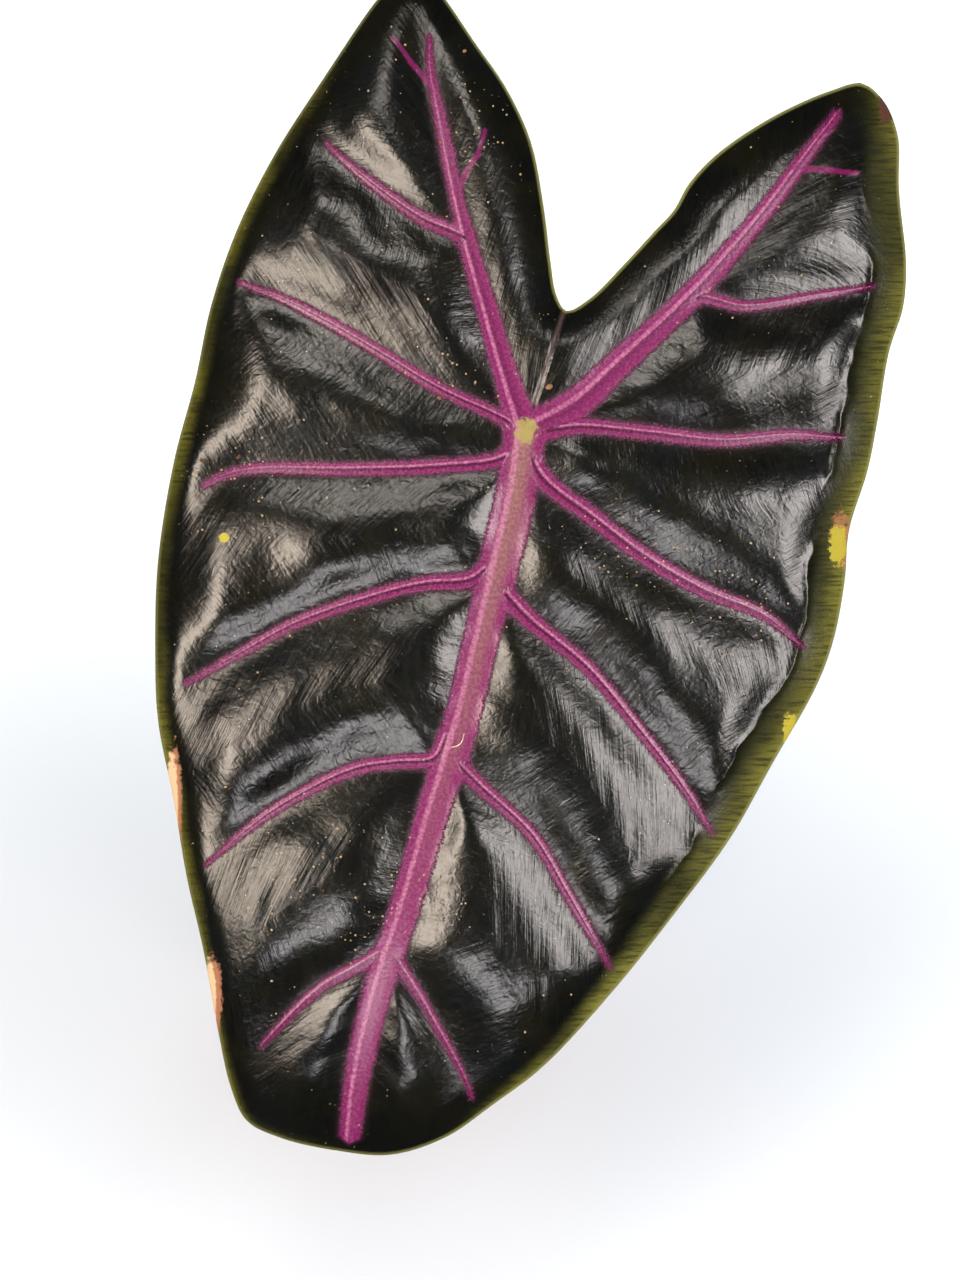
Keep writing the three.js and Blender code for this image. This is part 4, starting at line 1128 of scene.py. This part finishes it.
def stalkSurface(share, angle):
    # The taper, times two wings up the front of its lower part, with slight unevenness
    wings = stalk["wingHeight"] * (1 - smoothStep(stalk["wingReach"] * 0.55, stalk["wingReach"], share))
    bump = lambda at: np.exp((np.cos(angle - at) - 1) / 0.05)
    front, turn = -math.pi / 2, stalk["wingTurn"]
    rise = wings * smoothStep(0.02, 0.08, share) * (bump(front - turn) + bump(front + turn))
    around = np.stack([1.6 * np.cos(angle) + 9, 1.6 * np.sin(angle) + 9, 26 * share + 0 * angle], -1)
    uneven = 0.02 * softNoise(around.reshape(-1, 3), 1.0, 31).reshape(angle.shape)
    return stalkRadius(share) * (1 + rise + uneven * smoothStep(0, 0.03, 1 - share))


def wrapped(share, spots, angle):
    # Points round the stalk at a share of its length, at the given radii and angles
    middle, right, back = stalkFrames(share)
    return middle[:, None] + spots[..., None] * (
        right[:, None] * np.cos(angle)[..., None] + back[:, None] * np.sin(angle)[..., None]
    )


def roundPlace(tree):
    # Round the piece in two directions, then along it, so that the pattern has no seam
    x, y, _ = split(surfacePlace(tree))
    return join(x, y, pointValue(tree, "along"))


def stalkMaterial():
    constants = {"IOR": 1.42, "Subsurface Weight": 0.06, "Subsurface Scale": 0.003}
    material, tree, shader = makeMaterial("stalkSkin", **constants)
    place, run = roundPlace(tree), pointValue(tree, "along")
    length = stalkPath.length
    ridges = useGroup(fibres, Place=place, Across=9.0, Along=0.05)
    blotches = grain(stretch(place, 2.2, 2.2, 0.16), 1.0, 4.0, 0.6)
    flecks = grain(stretch(place, 7.0, 7.0, 0.45), 1.0, 3.0, 0.6)
    tone = tint(ramp(run, 0.0, 0.75 * length), stalk["low"], stalk["high"])
    tone = tint(ramp(blotches, 0.42, 0.62, 0.0, 0.75), tone, stalk["green"])
    tone = tint(ramp(flecks, 0.53, 0.66, 0.0, 0.85), tone, stalk["mottle"])
    tone = tint(ramp(run, 0.9 * length, length, 0.0, 0.7), tone, stalk["neck"])
    tone = tint(ramp(ridges, 0.35, 0.65, 0.0, 0.25), tone, stalk["ridge"])
    feedShader(shader, tone, ridges, 0.28, 0.8, roughness=ridges * 0.25 + 0.3)
    return material


def makeStalk():
    share = 1 - (1 - np.linspace(0, 1, stalk["rows"])) ** 1.3
    turn = np.arange(stalk["columns"]) / stalk["columns"] * 2 * math.pi
    angle = np.broadcast_to(turn, (len(share), len(turn)))
    points = wrapped(share, stalkSurface(share[:, None], angle), angle)
    foot = points[:1] - [0, 0, 1.6]  # set into the rhizome's top
    head = points[-1:] + 0.6 * leafFacing  # and into the boss behind the blade
    points = np.concatenate([foot, points, head])
    rows, columns = points.shape[:2]
    flat = points.reshape(-1, 3)
    flat = np.vstack([flat, flat[:columns].mean(0), flat[-columns:].mean(0)])
    faces = tubeFaces(rows, columns)
    uv = np.vstack([np.tile(np.stack([np.cos(turn), np.sin(turn)], -1), (rows, 1)), [[0, 0], [0, 0]]])
    run = np.concatenate([[-0.004], share, [1.002]]) * stalkPath.length
    along = np.concatenate([np.repeat(run, columns), [0, stalkPath.length]])
    makePiece("stalk_fine", flat, faces, [stalkMaterial()], ["stalk"], uv, {"along": along})
    print("stalk:", len(faces), "faces")


def paperMaterial():
    constants = {"IOR": 1.4, "Subsurface Weight": 0.1, "Subsurface Scale": 0.002}
    material, tree, shader = makeMaterial("dryPaper", **constants)
    place, run = roundPlace(tree), pointValue(tree, "along")
    threads = useGroup(fibres, Place=place, Across=11.0, Along=0.06)
    stains = grain(stretch(place, 1.6, 1.6, 0.06), 1.0, 4.0, 0.6)
    tone = tint(ramp(stains, 0.36, 0.64), papery["light"], papery["dark"])
    tone = tint(ramp(threads, 0.42, 0.62, 0.0, 0.6), tone, papery["thread"])
    tone = tint(ramp(run, 14.0, 0.0, 0.0, 0.7), tone, papery["foot"])
    feedShader(shader, tone, threads, 0.4, 0.9, roughness=threads * 0.2 + 0.55)
    return material


def paperEdges(rise):
    # How far round the stalk the sheath reaches to each side: narrowing to a point, with torn edges
    place = np.stack([rise * 14, 0 * rise], -1)
    broad, fine = 0.04 + 0.1 * rise, 0.02 + 0.09 * rise**2
    span = math.radians(papery["halfSpan"]) * (1.004 - rise**1.6) ** 0.72
    large = lambda seed: broad * softNoise(place + seed, 1.0, seed)
    small = lambda seed: fine * softNoise(place * 3.3 + seed, 1.0, seed + 1)
    return [span * (1 + large(seed) + small(seed)) for seed in (41, 47)]


def makePaperyScale():
    # The dried sheath: a thin wall wrapped round the stalk's back, with a ragged edge that narrows to a point
    rise = np.linspace(0, 1, papery["rows"])
    share = rise * papery["length"] / stalkPath.length
    columns = papery["columns"]
    across = np.linspace(-1, 1, columns)
    left, right = paperEdges(rise)
    angle = np.where(across < 0, across * left[:, None], across * right[:, None]) + math.pi / 2
    place = np.stack([angle * 2.2, rise[:, None] * 5 + 0 * angle], -1).reshape(-1, 2)
    waves = 0.3 * softNoise(place + 20, 1.0, 51).reshape(angle.shape)
    curl = 0.9 * np.abs(across) ** 6 * rise[:, None] ** 0.5  # its edges lift a little as they dry
    inner = (stalkRadius(share) + papery["clearance"] + papery["flare"] * rise**2)[:, None]
    inner = inner + (waves + 0.1) * smoothStep(0, 0.15, rise)[:, None] * 0.7 + curl
    wall = papery["wall"] * (1 - 0.6 * np.abs(across) ** 8)
    outside, inside = wrapped(share, inner + wall, angle), wrapped(share, inner, angle)
    points = np.concatenate([outside, inside[:, ::-1]], axis=1)
    rows, ring = points.shape[:2]
    half = np.arange(columns - 1)
    cap = np.stack([half, half + 1, ring - 2 - half, ring - 1 - half], -1)
    faces = np.vstack([gridFaces(rows, ring, wrapColumns=True), cap[:, ::-1], cap + (rows - 1) * ring])
    turn = np.concatenate([angle, angle[:, ::-1]], axis=1).reshape(-1)
    uv = np.stack([np.cos(turn), np.sin(turn)], -1)
    along = np.repeat(rise * papery["length"], ring)
    makePiece("papery_scale_fine", points.reshape(-1, 3), faces, [paperMaterial()],
              ["papery_scale"], uv, {"along": along})


makeStalk()
makePaperyScale()
print("papery scale done")


# Rhizome and roots

rhizome = {
    "foot": 82, "footRadius": 12.4, "radius": 15, "topRadius": 12.5, "top": 121, "columns": 120,
    "scarsFrom": 106, "scarDepth": 0.9, "scarPitch": 4.2,
    "bark": rgb(92, 64, 44), "cork": rgb(134, 102, 74), "dark": rgb(44, 30, 22), "scar": rgb(28, 18, 14),
    "roots": 9, "root": rgb(178, 148, 108), "rootShade": rgb(104, 76, 50),
}
soil = {
    "top": 109, "mound": 3, "lumpHeight": 1.6, "hole": 14.4, "holeFloor": 81.7, "rim": 70.4, "columns": 260,
    "barkChips": 300, "grits": 150, "coals": 45,
    "dark": rgb(36, 25, 18), "brown": rgb(72, 50, 34), "damp": rgb(28, 20, 15), "speck": rgb(138, 118, 92),
}


def soilHeight(x, y):
    # A low heap round the rhizome, with broad lumps
    heap = soil["mound"] * (1 - smoothStep(16, 52, np.hypot(x, y)))
    lumps = np.sin(0.31 * x + 1.3) * np.cos(0.27 * y - 0.4) + 0.6 * np.sin(0.53 * x - 0.41 * y)
    return soil["top"] + heap + soil["lumpHeight"] * 0.6 * lumps


def latheGrid(profile, columns):
    # A closed profile of (radius, height) rows turned round Z; its first and last points lie on the axis
    angle = np.arange(columns) / columns * 2 * math.pi
    radius, height = profile[1:-1, 0], profile[1:-1, 1]
    x, y = np.outer(radius, np.cos(angle)), np.outer(radius, np.sin(angle))
    points = np.stack([x, y, np.broadcast_to(height[:, None], x.shape)], -1)
    ends = np.array([[0, 0, profile[0, 1]], [0, 0, profile[-1, 1]]])
    return points, tubeFaces(len(radius), columns), ends


def rhizomeMaterial():
    material, tree, shader = makeMaterial("rhizomeBark", Roughness=0.82)
    place = roundPlace(tree)
    cork = useGroup(fibres, Place=place, Across=5.0, Along=0.5)
    flakes = grain(stretch(place, 6.0, 6.0, 0.9), 1.0, 5.0, 0.65)
    tone = tint(ramp(flakes, 0.36, 0.62), rhizome["dark"], rhizome["bark"])
    tone = tint(ramp(cork, 0.46, 0.66, 0.0, 0.8), tone, rhizome["cork"])
    tone = tint(ramp(pointValue(tree, "scar"), 0.25, 0.0, 0.0, 0.7), tone, rhizome["scar"])
    feedShader(shader, tone, cork + flakes, 0.5, 0.9)
    return material


def makeRhizome():
    # Rings of old leaf scars: each ring steps in under its edge, and the edges wander up and down
    foot, top, scarsFrom = rhizome["foot"], rhizome["top"], rhizome["scarsFrom"]
    heights = np.concatenate([
        [foot, foot + 0.1], np.linspace(foot + 3, scarsFrom, 6)[:-1], np.linspace(scarsFrom, top - 0.9, 74),
    ])
    radii = [rhizome["footRadius"], rhizome["radius"], rhizome["radius"], rhizome["topRadius"]]
    base = np.interp(heights, [foot, foot + 3, scarsFrom + 1, top], radii)
    profile = np.vstack([[0, foot], np.column_stack([base, heights]), [9.5, top], [0, top + 0.1]])
    points, faces, ends = latheGrid(profile, rhizome["columns"])
    angle = np.arange(rhizome["columns"]) / rhizome["columns"] * 2 * math.pi
    h = points[..., 2]
    wander = 0.9 * np.sin(angle * 2 + 0.7) + 0.5 * np.sin(angle * 3 + 2 + h * 0.2)
    phase = ((h - (scarsFrom + 1) + wander) / rhizome["scarPitch"]) % 1
    scarred = smoothStep(scarsFrom, scarsFrom + 3, h)
    step = rhizome["scarDepth"] * (1 - smoothStep(0.0, 0.75, phase)) * scarred
    place = np.stack([np.cos(angle) * 4.5 + 0 * h, np.sin(angle) * 4.5 + 0 * h, h / 2.6], -1)
    place = place.reshape(-1, 3) + 20
    rough = (0.42 * softNoise(place, 1.0, 61) + 0.3 * softNoise(place * 2.7, 1.0, 62)).reshape(h.shape)
    shrink = (step + 0.25 - rough * 0.6) / np.maximum(np.hypot(points[..., 0], points[..., 1]), 1)
    shrink[-1] = 0  # the seat of the stalk stays as it is
    points[..., :2] *= 1 - shrink[..., None]
    uv = np.tile(np.stack([np.cos(angle), np.sin(angle)], -1), (len(points), 1))
    values = {
        "along": np.concatenate([h.reshape(-1), [foot, top]]),
        "scar": np.concatenate([(phase * scarred).reshape(-1), [0, 0]]),
    }
    makePiece("rhizome_fine", np.vstack([points.reshape(-1, 3), ends]), faces, [rhizomeMaterial()],
              ["rhizome"], np.vstack([uv, [[0, 0], [0, 0]]]), values)


def rootMaterial():
    material, tree, shader = makeMaterial("rootSkin", Roughness=0.7)
    place = objectPlace(tree)
    tone = tint(ramp(grain(place, 260.0, 3.0), 0.35, 0.65), rhizome["root"], rhizome["rootShade"])
    feedShader(shader, tone, grain(place, 900.0, 3.0), 0.25)
    return material


def makeRoots():
    # Roots that leave the foot of the rhizome and arch down into the mix
    dice = np.random.default_rng(64)
    points, faces, start = [], [], 0
    for i in range(rhizome["roots"]):
        turn = 2 * math.pi * (i + dice.uniform(-0.3, 0.3)) / rhizome["roots"]
        bend = dice.uniform(-0.35, 0.35)
        high = dice.uniform(112.5, 115)
        reach = dice.uniform(21, 28)
        # radius, height and extra turn of each place that the root runs through
        course = [
            (12.5, high + 0.4, 0), (15.4, high + 0.3, 0.02), (0.5 * (15 + reach), high - 0.9, 0.4 * bend),
            (reach, 108.6, bend), (reach + 2, 104, 1.2 * bend),
        ]
        path = SmoothCurve([
            (radius * math.cos(turn + more), radius * math.sin(turn + more), z) for radius, z, more in course
        ])
        rootPoints, rootFaces = tubeAlong(path, [1.5, 1.35, 1.2, 0.9], 26, 10)
        points.append(rootPoints)
        faces += [[corner + start for corner in face] for face in rootFaces]
        start += len(rootPoints)
    makePiece("root_stubs", np.vstack(points), faces, [rootMaterial()])


makeRhizome()
makeRoots()
print("rhizome and roots done")


# Soil mix

def groundMaterial():
    material, tree, shader = makeMaterial("mixGround", Roughness=0.93)
    place = objectPlace(tree)
    tone = tint(ramp(grain(place, 420.0, 4.0, 0.7), 0.35, 0.65), soil["dark"], soil["brown"])
    tone = tint(ramp(grain(place, 90.0, 3.0), 0.5, 0.65, 0.0, 0.7), tone, soil["damp"])
    tone = tint(useGroup(specks, Place=place, Density=620.0, Share=0.16, Size=0.3) * 0.6, tone, soil["speck"])
    feedShader(shader, tone, grain(place, 700.0, 5.0, 0.7), 0.9)
    return material


def makeSoil():
    # The mix as one body in the pot: its sides follow the pot's wall, and its top is broken up into crumbs
    hole, rim, top, holeFloor = soil["hole"], soil["rim"], soil["top"], soil["holeFloor"]
    ledge = np.linspace(hole + 0.6, rim - 0.6, 92)[::-1]
    profile = np.vstack([
        [[0, 2.5], [50.0, 2.5], [51.2, 9], [53.4, 13.5], [69.2, 103], [rim, 107.6]],
        np.column_stack([ledge, 0 * ledge + top]), [[hole, 106], [hole, holeFloor], [0, holeFloor]],
    ])
    points, faces, ends = latheGrid(profile, soil["columns"])
    x, y, z = np.moveaxis(points, -1, 0)
    flat = np.stack([x, y], -1).reshape(-1, 2) + 200
    relief = 0.75 * softNoise(flat, 3.6, 71) + 0.5 * softNoise(flat, 1.5, 72)
    relief = relief + 0.9 * np.abs(softNoise(flat, 5.2, 73))
    crumbly = soilHeight(x, y) + relief.reshape(x.shape) - 0.3
    points[..., 2] = np.where(np.abs(z - top) < 0.01, crumbly, z)
    points = np.vstack([points.reshape(-1, 3), ends])
    makePiece("soil_fine", points, faces, [groundMaterial()], ["soil"])


def chipMaterial(name, first, second, scale, roughness, depth):
    material, tree, shader = makeMaterial(name, Roughness=roughness)
    place = objectPlace(tree)
    tone = tint(ramp(grain(stretch(place, 1.0, 1.0, 3.0), scale, 4.0, 0.65), 0.35, 0.65), first, second)
    tone = tint(ramp(pointValue(tree, "tint"), 0.0, 1.0, 0.0, 0.6), tone, darker(first, 0.3))
    feedShader(shader, tone, grain(place, scale * 2.5, 4.0, 0.7), depth)
    return material




def scatter(count, reach, seed):
    # Places on the soil's top, each the freest of a few tries, so that they spread evenly
    dice = np.random.default_rng(seed)
    kept = np.zeros((0, 2))
    for _ in range(count):
        radius = np.sqrt(dice.uniform(17.5**2, reach**2, 12))
        turn = dice.uniform(0, 2 * math.pi, 12)
        tries = np.stack([radius * np.cos(turn), radius * np.sin(turn)], -1)
        gaps = np.linalg.norm(tries[:, None] - kept, axis=-1).min(1) if len(kept) else np.ones(12)
        kept = np.vstack([kept, tries[gaps.argmax()]])
    return kept


def makeChips(name, count, longest, shape, reach, tilt, sink, material, seed, **options):
    dice = np.random.default_rng(seed)
    flat = scatter(count, reach, seed + 1)
    size = dice.uniform(*longest, count)[:, None] * (np.array(shape) * dice.uniform(0.75, 1.15, (count, 3)))
    height = soilHeight(*flat.T) + size[:, 2] * sink + 0.5
    places = np.column_stack([flat, height])
    points, faces = pebbles(places, size, randomTurns(count, tilt, seed + 2), seed + 3, **options)
    shades = np.repeat(dice.uniform(0, 1, count), len(points) // count)
    makePiece(name, points, faces, [material], values={"tint": shades})


makeSoil()
makeChips("bark_chips", soil["barkChips"], (6, 13), (1, 0.55, 0.3), 63.5, 26, 0.22,
          chipMaterial("barkChip", rgb(112, 74, 48), rgb(64, 40, 26), 260.0, 0.85, 0.5), 81)
makeChips("pumice_grit", soil["grits"], (2.4, 5), (1, 0.85, 0.75), 66.0, 60, 0.3,
          chipMaterial("pumice", rgb(206, 200, 188), rgb(168, 160, 146), 700.0, 0.9, 0.4), 91)
makeChips("charcoal", soil["coals"], (3, 6), (1, 0.7, 0.6), 65.0, 60, 0.3,
          chipMaterial("coal", rgb(30, 29, 29), rgb(16, 15, 15), 500.0, 0.55, 0.3), 101)
print("soil mix done")


# Pot

pot = {
    "height": 122, "baseRadius": 54, "topRadius": 73, "wall": 1.8, "floor": 2.2,
    "lipHeight": 11, "lipOut": 2.6, "footHeight": 9, "footStep": 1.2,
    "slots": 8, "slotWidth": 13, "slotTop": 6.5, "columns": 176,
    "clay": rgb(150, 86, 60), "clayDark": rgb(138, 78, 55), "worn": rgb(166, 104, 78),
    "dirt": rgb(74, 54, 40), "dust": rgb(196, 180, 160),
}


def wallRadius(height):
    return mix(pot["baseRadius"], pot["topRadius"], height / (pot["height"] - pot["lipHeight"]))


def roundCorners(points, radius, steps=5):
    # Each inner corner of a profile turned into a short curve that leaves its two sides where it meets them
    p = np.asarray(points, float)
    before, here, after = p[:-2], p[1:-1], p[2:]
    sides = [np.linalg.norm(other - here, axis=1, keepdims=True) for other in (before, after)]
    reach = np.minimum(radius, 0.42 * np.minimum(*sides))
    start, end = [here + (other - here) / side * reach for other, side in zip((before, after), sides)]
    start, here, end = start[:, None], here[:, None], end[:, None]
    t = np.linspace(0, 1, steps)[None, :, None]
    curve = (1 - t) ** 2 * start + 2 * t * (1 - t) * here + t**2 * end
    return np.vstack([p[:1], curve.reshape(-1, 2), p[-1:]])


def potProfile():
    # From the middle of the underside, up the outside, round the lip and down the inside to the middle of
    # the floor
    lipFoot, wall = pot["height"] - pot["lipHeight"], pot["wall"]
    foot, step = pot["footHeight"], pot["footStep"]
    base, lip = pot["baseRadius"] - step, pot["topRadius"] + pot["lipOut"]
    inside, waist = lip - wall - 1, 60
    return roundCorners([
        [0, 0], [base, 0], [wallRadius(foot) - step, foot], [wallRadius(foot + 1.2), foot + 1.2],
        [wallRadius(waist), waist], [pot["topRadius"], lipFoot], [lip, lipFoot], [lip + 0.6, pot["height"]],
        [inside, pot["height"]], [inside, pot["height"] - 2], [pot["topRadius"] - wall, lipFoot - 2],
        [wallRadius(waist) - wall, waist], [wallRadius(foot + 3) - wall, foot + 3],
        [wallRadius(foot) - step - wall, foot], [base - wall, pot["floor"]], [0, pot["floor"]],
    ], 1.0)


def slotBoxes():
    # A box through the foot of the wall for each drainage slot
    box = np.array([[x, y, z] for x in (-6, 6) for y in (-0.5, 0.5) for z in (-0.5, 0.5)])
    box = box * [1, pot["slotWidth"], pot["slotTop"] - 2]
    sides = np.array([[0, 1, 3, 2], [4, 6, 7, 5], [0, 4, 5, 1], [2, 3, 7, 6], [0, 2, 6, 4], [1, 5, 7, 3]])
    number = np.arange(pot["slots"])[:, None]
    turn = 2 * math.pi * (number + 0.5) / pot["slots"]
    x, y = box[:, 0] + pot["baseRadius"] - pot["footStep"], box[:, 1]
    z = np.broadcast_to(box[:, 2] + pot["slotTop"] / 2 + 1, (pot["slots"], 8))
    cut = np.stack([np.cos(turn) * x - np.sin(turn) * y, np.sin(turn) * x + np.cos(turn) * y, z], -1)
    return cut.reshape(-1, 3), (sides + 8 * number[:, None]).reshape(-1, 4).tolist()


def helperObject(name, points, faces):
    mesh = bpy.data.meshes.new(name)
    mesh.from_pydata((points * mm).tolist(), [], faces)
    helper = bpy.data.objects.new(name, mesh)
    bpy.context.collection.objects.link(helper)
    return helper


def potMaterial():
    material, tree, shader = makeMaterial("potPlastic", IOR=1.46)
    place = objectPlace(tree)
    height = split(place)[2]
    broad = grain(place, 16.0, 3.0)
    scuffs = grain(stretch(place, 40.0, 40.0, 320.0), 1.0, 4.0, 0.6)
    tone = tint(ramp(broad, 0.35, 0.65), pot["clay"], pot["clayDark"])
    tone = tint(ramp(scuffs, 0.55, 0.72) * ramp(broad, 0.4, 0.62, 0.05, 0.35), tone, pot["worn"])
    splash = ramp(height, 0.03, 0.0, 0.0, 0.34) + grain(place, 60.0, 4.0, 0.7) * 0.7
    tone = tint(ramp(splash, 0.5, 0.75, 0.0, 0.6), tone, pot["dirt"])
    tone = tint(useGroup(specks, Place=place, Density=330.0, Share=0.12, Size=0.12) * 0.5, tone, pot["dust"])
    relief = calc("SINE", height * 5200.0) * 0.06 + grain(place, 900.0, 2.0) * 0.5
    feedShader(shader, tone, relief, 0.1, 0.6, roughness=scuffs * 0.3 + 0.34)
    return material


def makePot():
    points, faces, ends = latheGrid(potProfile(), pot["columns"])
    shell = helperObject("potShell", np.vstack([points.reshape(-1, 3), ends]), faces)
    cutter = helperObject("slotCuts", *slotBoxes())
    cutting = shell.modifiers.new("slots", "BOOLEAN")
    cutting.operation, cutting.object, cutting.solver = "DIFFERENCE", cutter, "EXACT"
    mesh = bpy.data.meshes.new_from_object(shell.evaluated_get(bpy.context.evaluated_depsgraph_get()))
    for helper in (shell, cutter):
        bpy.data.objects.remove(helper)
    mesh.name = "pot_fine"
    mesh.materials.clear()
    mesh.materials.append(potMaterial())
    mesh.polygons.foreach_set("use_smooth", np.ones(len(mesh.polygons), bool))
    mesh.set_sharp_from_angle(angle=math.radians(32))
    placePiece("pot_fine", mesh, ["pot"])
    print("pot:", len(mesh.polygons), "faces")


makePot()


# Stage, lights and camera

studio = {
    "floor": rgb(201, 207, 213), "floorShade": rgb(197, 204, 210), "floorReach": 30.0,
    "floorGlow": (0.1, 0.8, 0, 0.46), "farGlow": (0.9, 3.4, 0, 0.13),  # metres from the pot, then strength
    "look": (40.25, -749.3, 641.95),  # camera place in millimetres
    "lens": 52.2,
    "air": 0.035, "fill": 0.82, "background": 1.0,  # what glossy, diffuse and camera rays see
}

# name, direction from the leaf's middle (degrees off its facing, and round it from its right), distance and
# size in metres, radiance, colour
lamps = [
    ("leftWindow", 38, 184, 1.25, (0.7, 1.2), 16.3, (1.0, 0.85, 0.71)),
    ("rightWindow", 38, 2, 1.3, (0.76, 1.15), 15.3, (0.93, 0.87, 0.85)),
    ("lowWindow", 33, 262, 1.25, (0.66, 0.36), 12.7, (0.95, 0.9, 0.92)),
    ("highWindow", 40, 104, 1.3, (0.66, 0.32), 11.3, (1.0, 0.92, 0.84)),
    ("backWindow", 140, 55, 1.6, (0.7, 1.0), 5.0, (1.0, 0.98, 0.95)),
]

facing, upward = Vector(leafFacing), Vector(leafUp)


def aimed(place, target):
    place, target = Vector(place), Vector(target)
    return Matrix.Translation(place) @ (target - place).to_track_quat("-Z", "Y").to_matrix().to_4x4()


def makeLamp(name, place, target, size, radiance, colour):
    # A rectangular soft light that fades towards its edges; its power follows from brightness and area
    data = bpy.data.lights.new(name, "AREA")
    data.shape, data.size, data.size_y = "RECTANGLE", size[0], size[1]
    data.energy = radiance * size[0] * size[1] * math.pi
    data.color = colour
    data.use_nodes = True
    face = outputsOf(data.node_tree, "NewGeometry")["Parametric"]
    across, along = [abs(part - 0.5) for part in split(face)[:2]]
    faded = ramp(across, 0.5, 0.1) * ramp(along, 0.5, 0.22)
    uneven = ramp(grain(face, 3.2, 3.0), 0.32, 0.68, 0.6, 1.3)
    fill(data.node_tree.nodes["Emission"], {"Strength": faded * uneven})
    lamp = bpy.data.objects.new(name, data)
    lamp.matrix_world = aimed(place, target)
    lamp.visible_camera = False
    bpy.context.collection.objects.link(lamp)
    return lamp


def makeLamps():
    middle = (Vector(leaf["junction"]) + leaf["drawnAt"][1] * upward) * mm
    for name, off, turn, distance, size, radiance, colour in lamps:
        off, turn = math.radians(off), math.radians(turn)
        side = Vector((math.cos(turn), 0, 0)) + upward * math.sin(turn)
        place = middle + (facing * math.cos(off) + side * math.sin(off)) * distance
        makeLamp(name, place, middle, size, radiance, colour)
    ceiling = makeLamp("ceiling", (0, 2.0, 2.8), (0, 2.0, 0), (5.0, 6.0), 1.0, (1.0, 1.0, 1.0))
    ceiling.visible_glossy = False


def makeAir():
    # The world: dim for glossy rays, so that the leaf stays black, and white behind the part
    world = bpy.context.scene.world or bpy.data.worlds.new("air")
    bpy.context.scene.world = world
    world.use_nodes = True
    ray = outputsOf(world.node_tree, "LightPath")
    strength = blend(ray["Is Glossy Ray"], studio["fill"], studio["air"])
    strength = blend(ray["Is Camera Ray"], strength, studio["background"])
    fill(world.node_tree.nodes["Background"], {"Color": (0.97, 0.98, 1.0, 1), "Strength": strength})


def makeFloor():
    # A faint glow away from the pot keeps the far floor as pale as the background
    material, tree, shader = makeMaterial("paleFloor", **{"Roughness": 0.6, "Emission Color": (1, 1, 1, 1)})
    place = objectPlace(tree)
    away = vectorMath("LENGTH", place, output="Value")
    fill(shader, {
        "Base Color": tint(grain(place, 1.4, 3.0), studio["floor"], studio["floorShade"]),
        "Emission Strength": ramp(away, *studio["floorGlow"]) + ramp(away, *studio["farGlow"]),
    })
    reach = studio["floorReach"]
    corners = [(-reach, -reach, 0), (reach, -reach, 0), (reach, reach, 0), (-reach, reach, 0)]
    mesh = bpy.data.meshes.new("floor")
    mesh.from_pydata(corners, [], [(0, 1, 2, 3)])
    mesh.materials.append(material)
    floor = bpy.data.objects.new("floor", mesh)
    bpy.context.collection.objects.link(floor)
    floor.visible_glossy = False  # glossy pieces mirror the dim air instead


def makeCamera():
    # It looks straight at the leaf's face
    data = bpy.data.cameras.new("camera")
    data.lens, data.sensor_width = studio["lens"], 36
    data.clip_start, data.clip_end = 0.01, 60
    camera = bpy.data.objects.new("camera", data)
    turned = Matrix(((1, 0, 0), upward, facing)).transposed()
    camera.matrix_world = Matrix.Translation(Vector(studio["look"]) * mm) @ turned.to_4x4()
    bpy.context.collection.objects.link(camera)
    bpy.context.scene.camera = camera
    bpy.context.scene.view_settings.view_transform = "Standard"
    bpy.context.scene.view_settings.look = "None"


makeLamps()
makeAir()
makeFloor()
makeCamera()
print("studio ready")
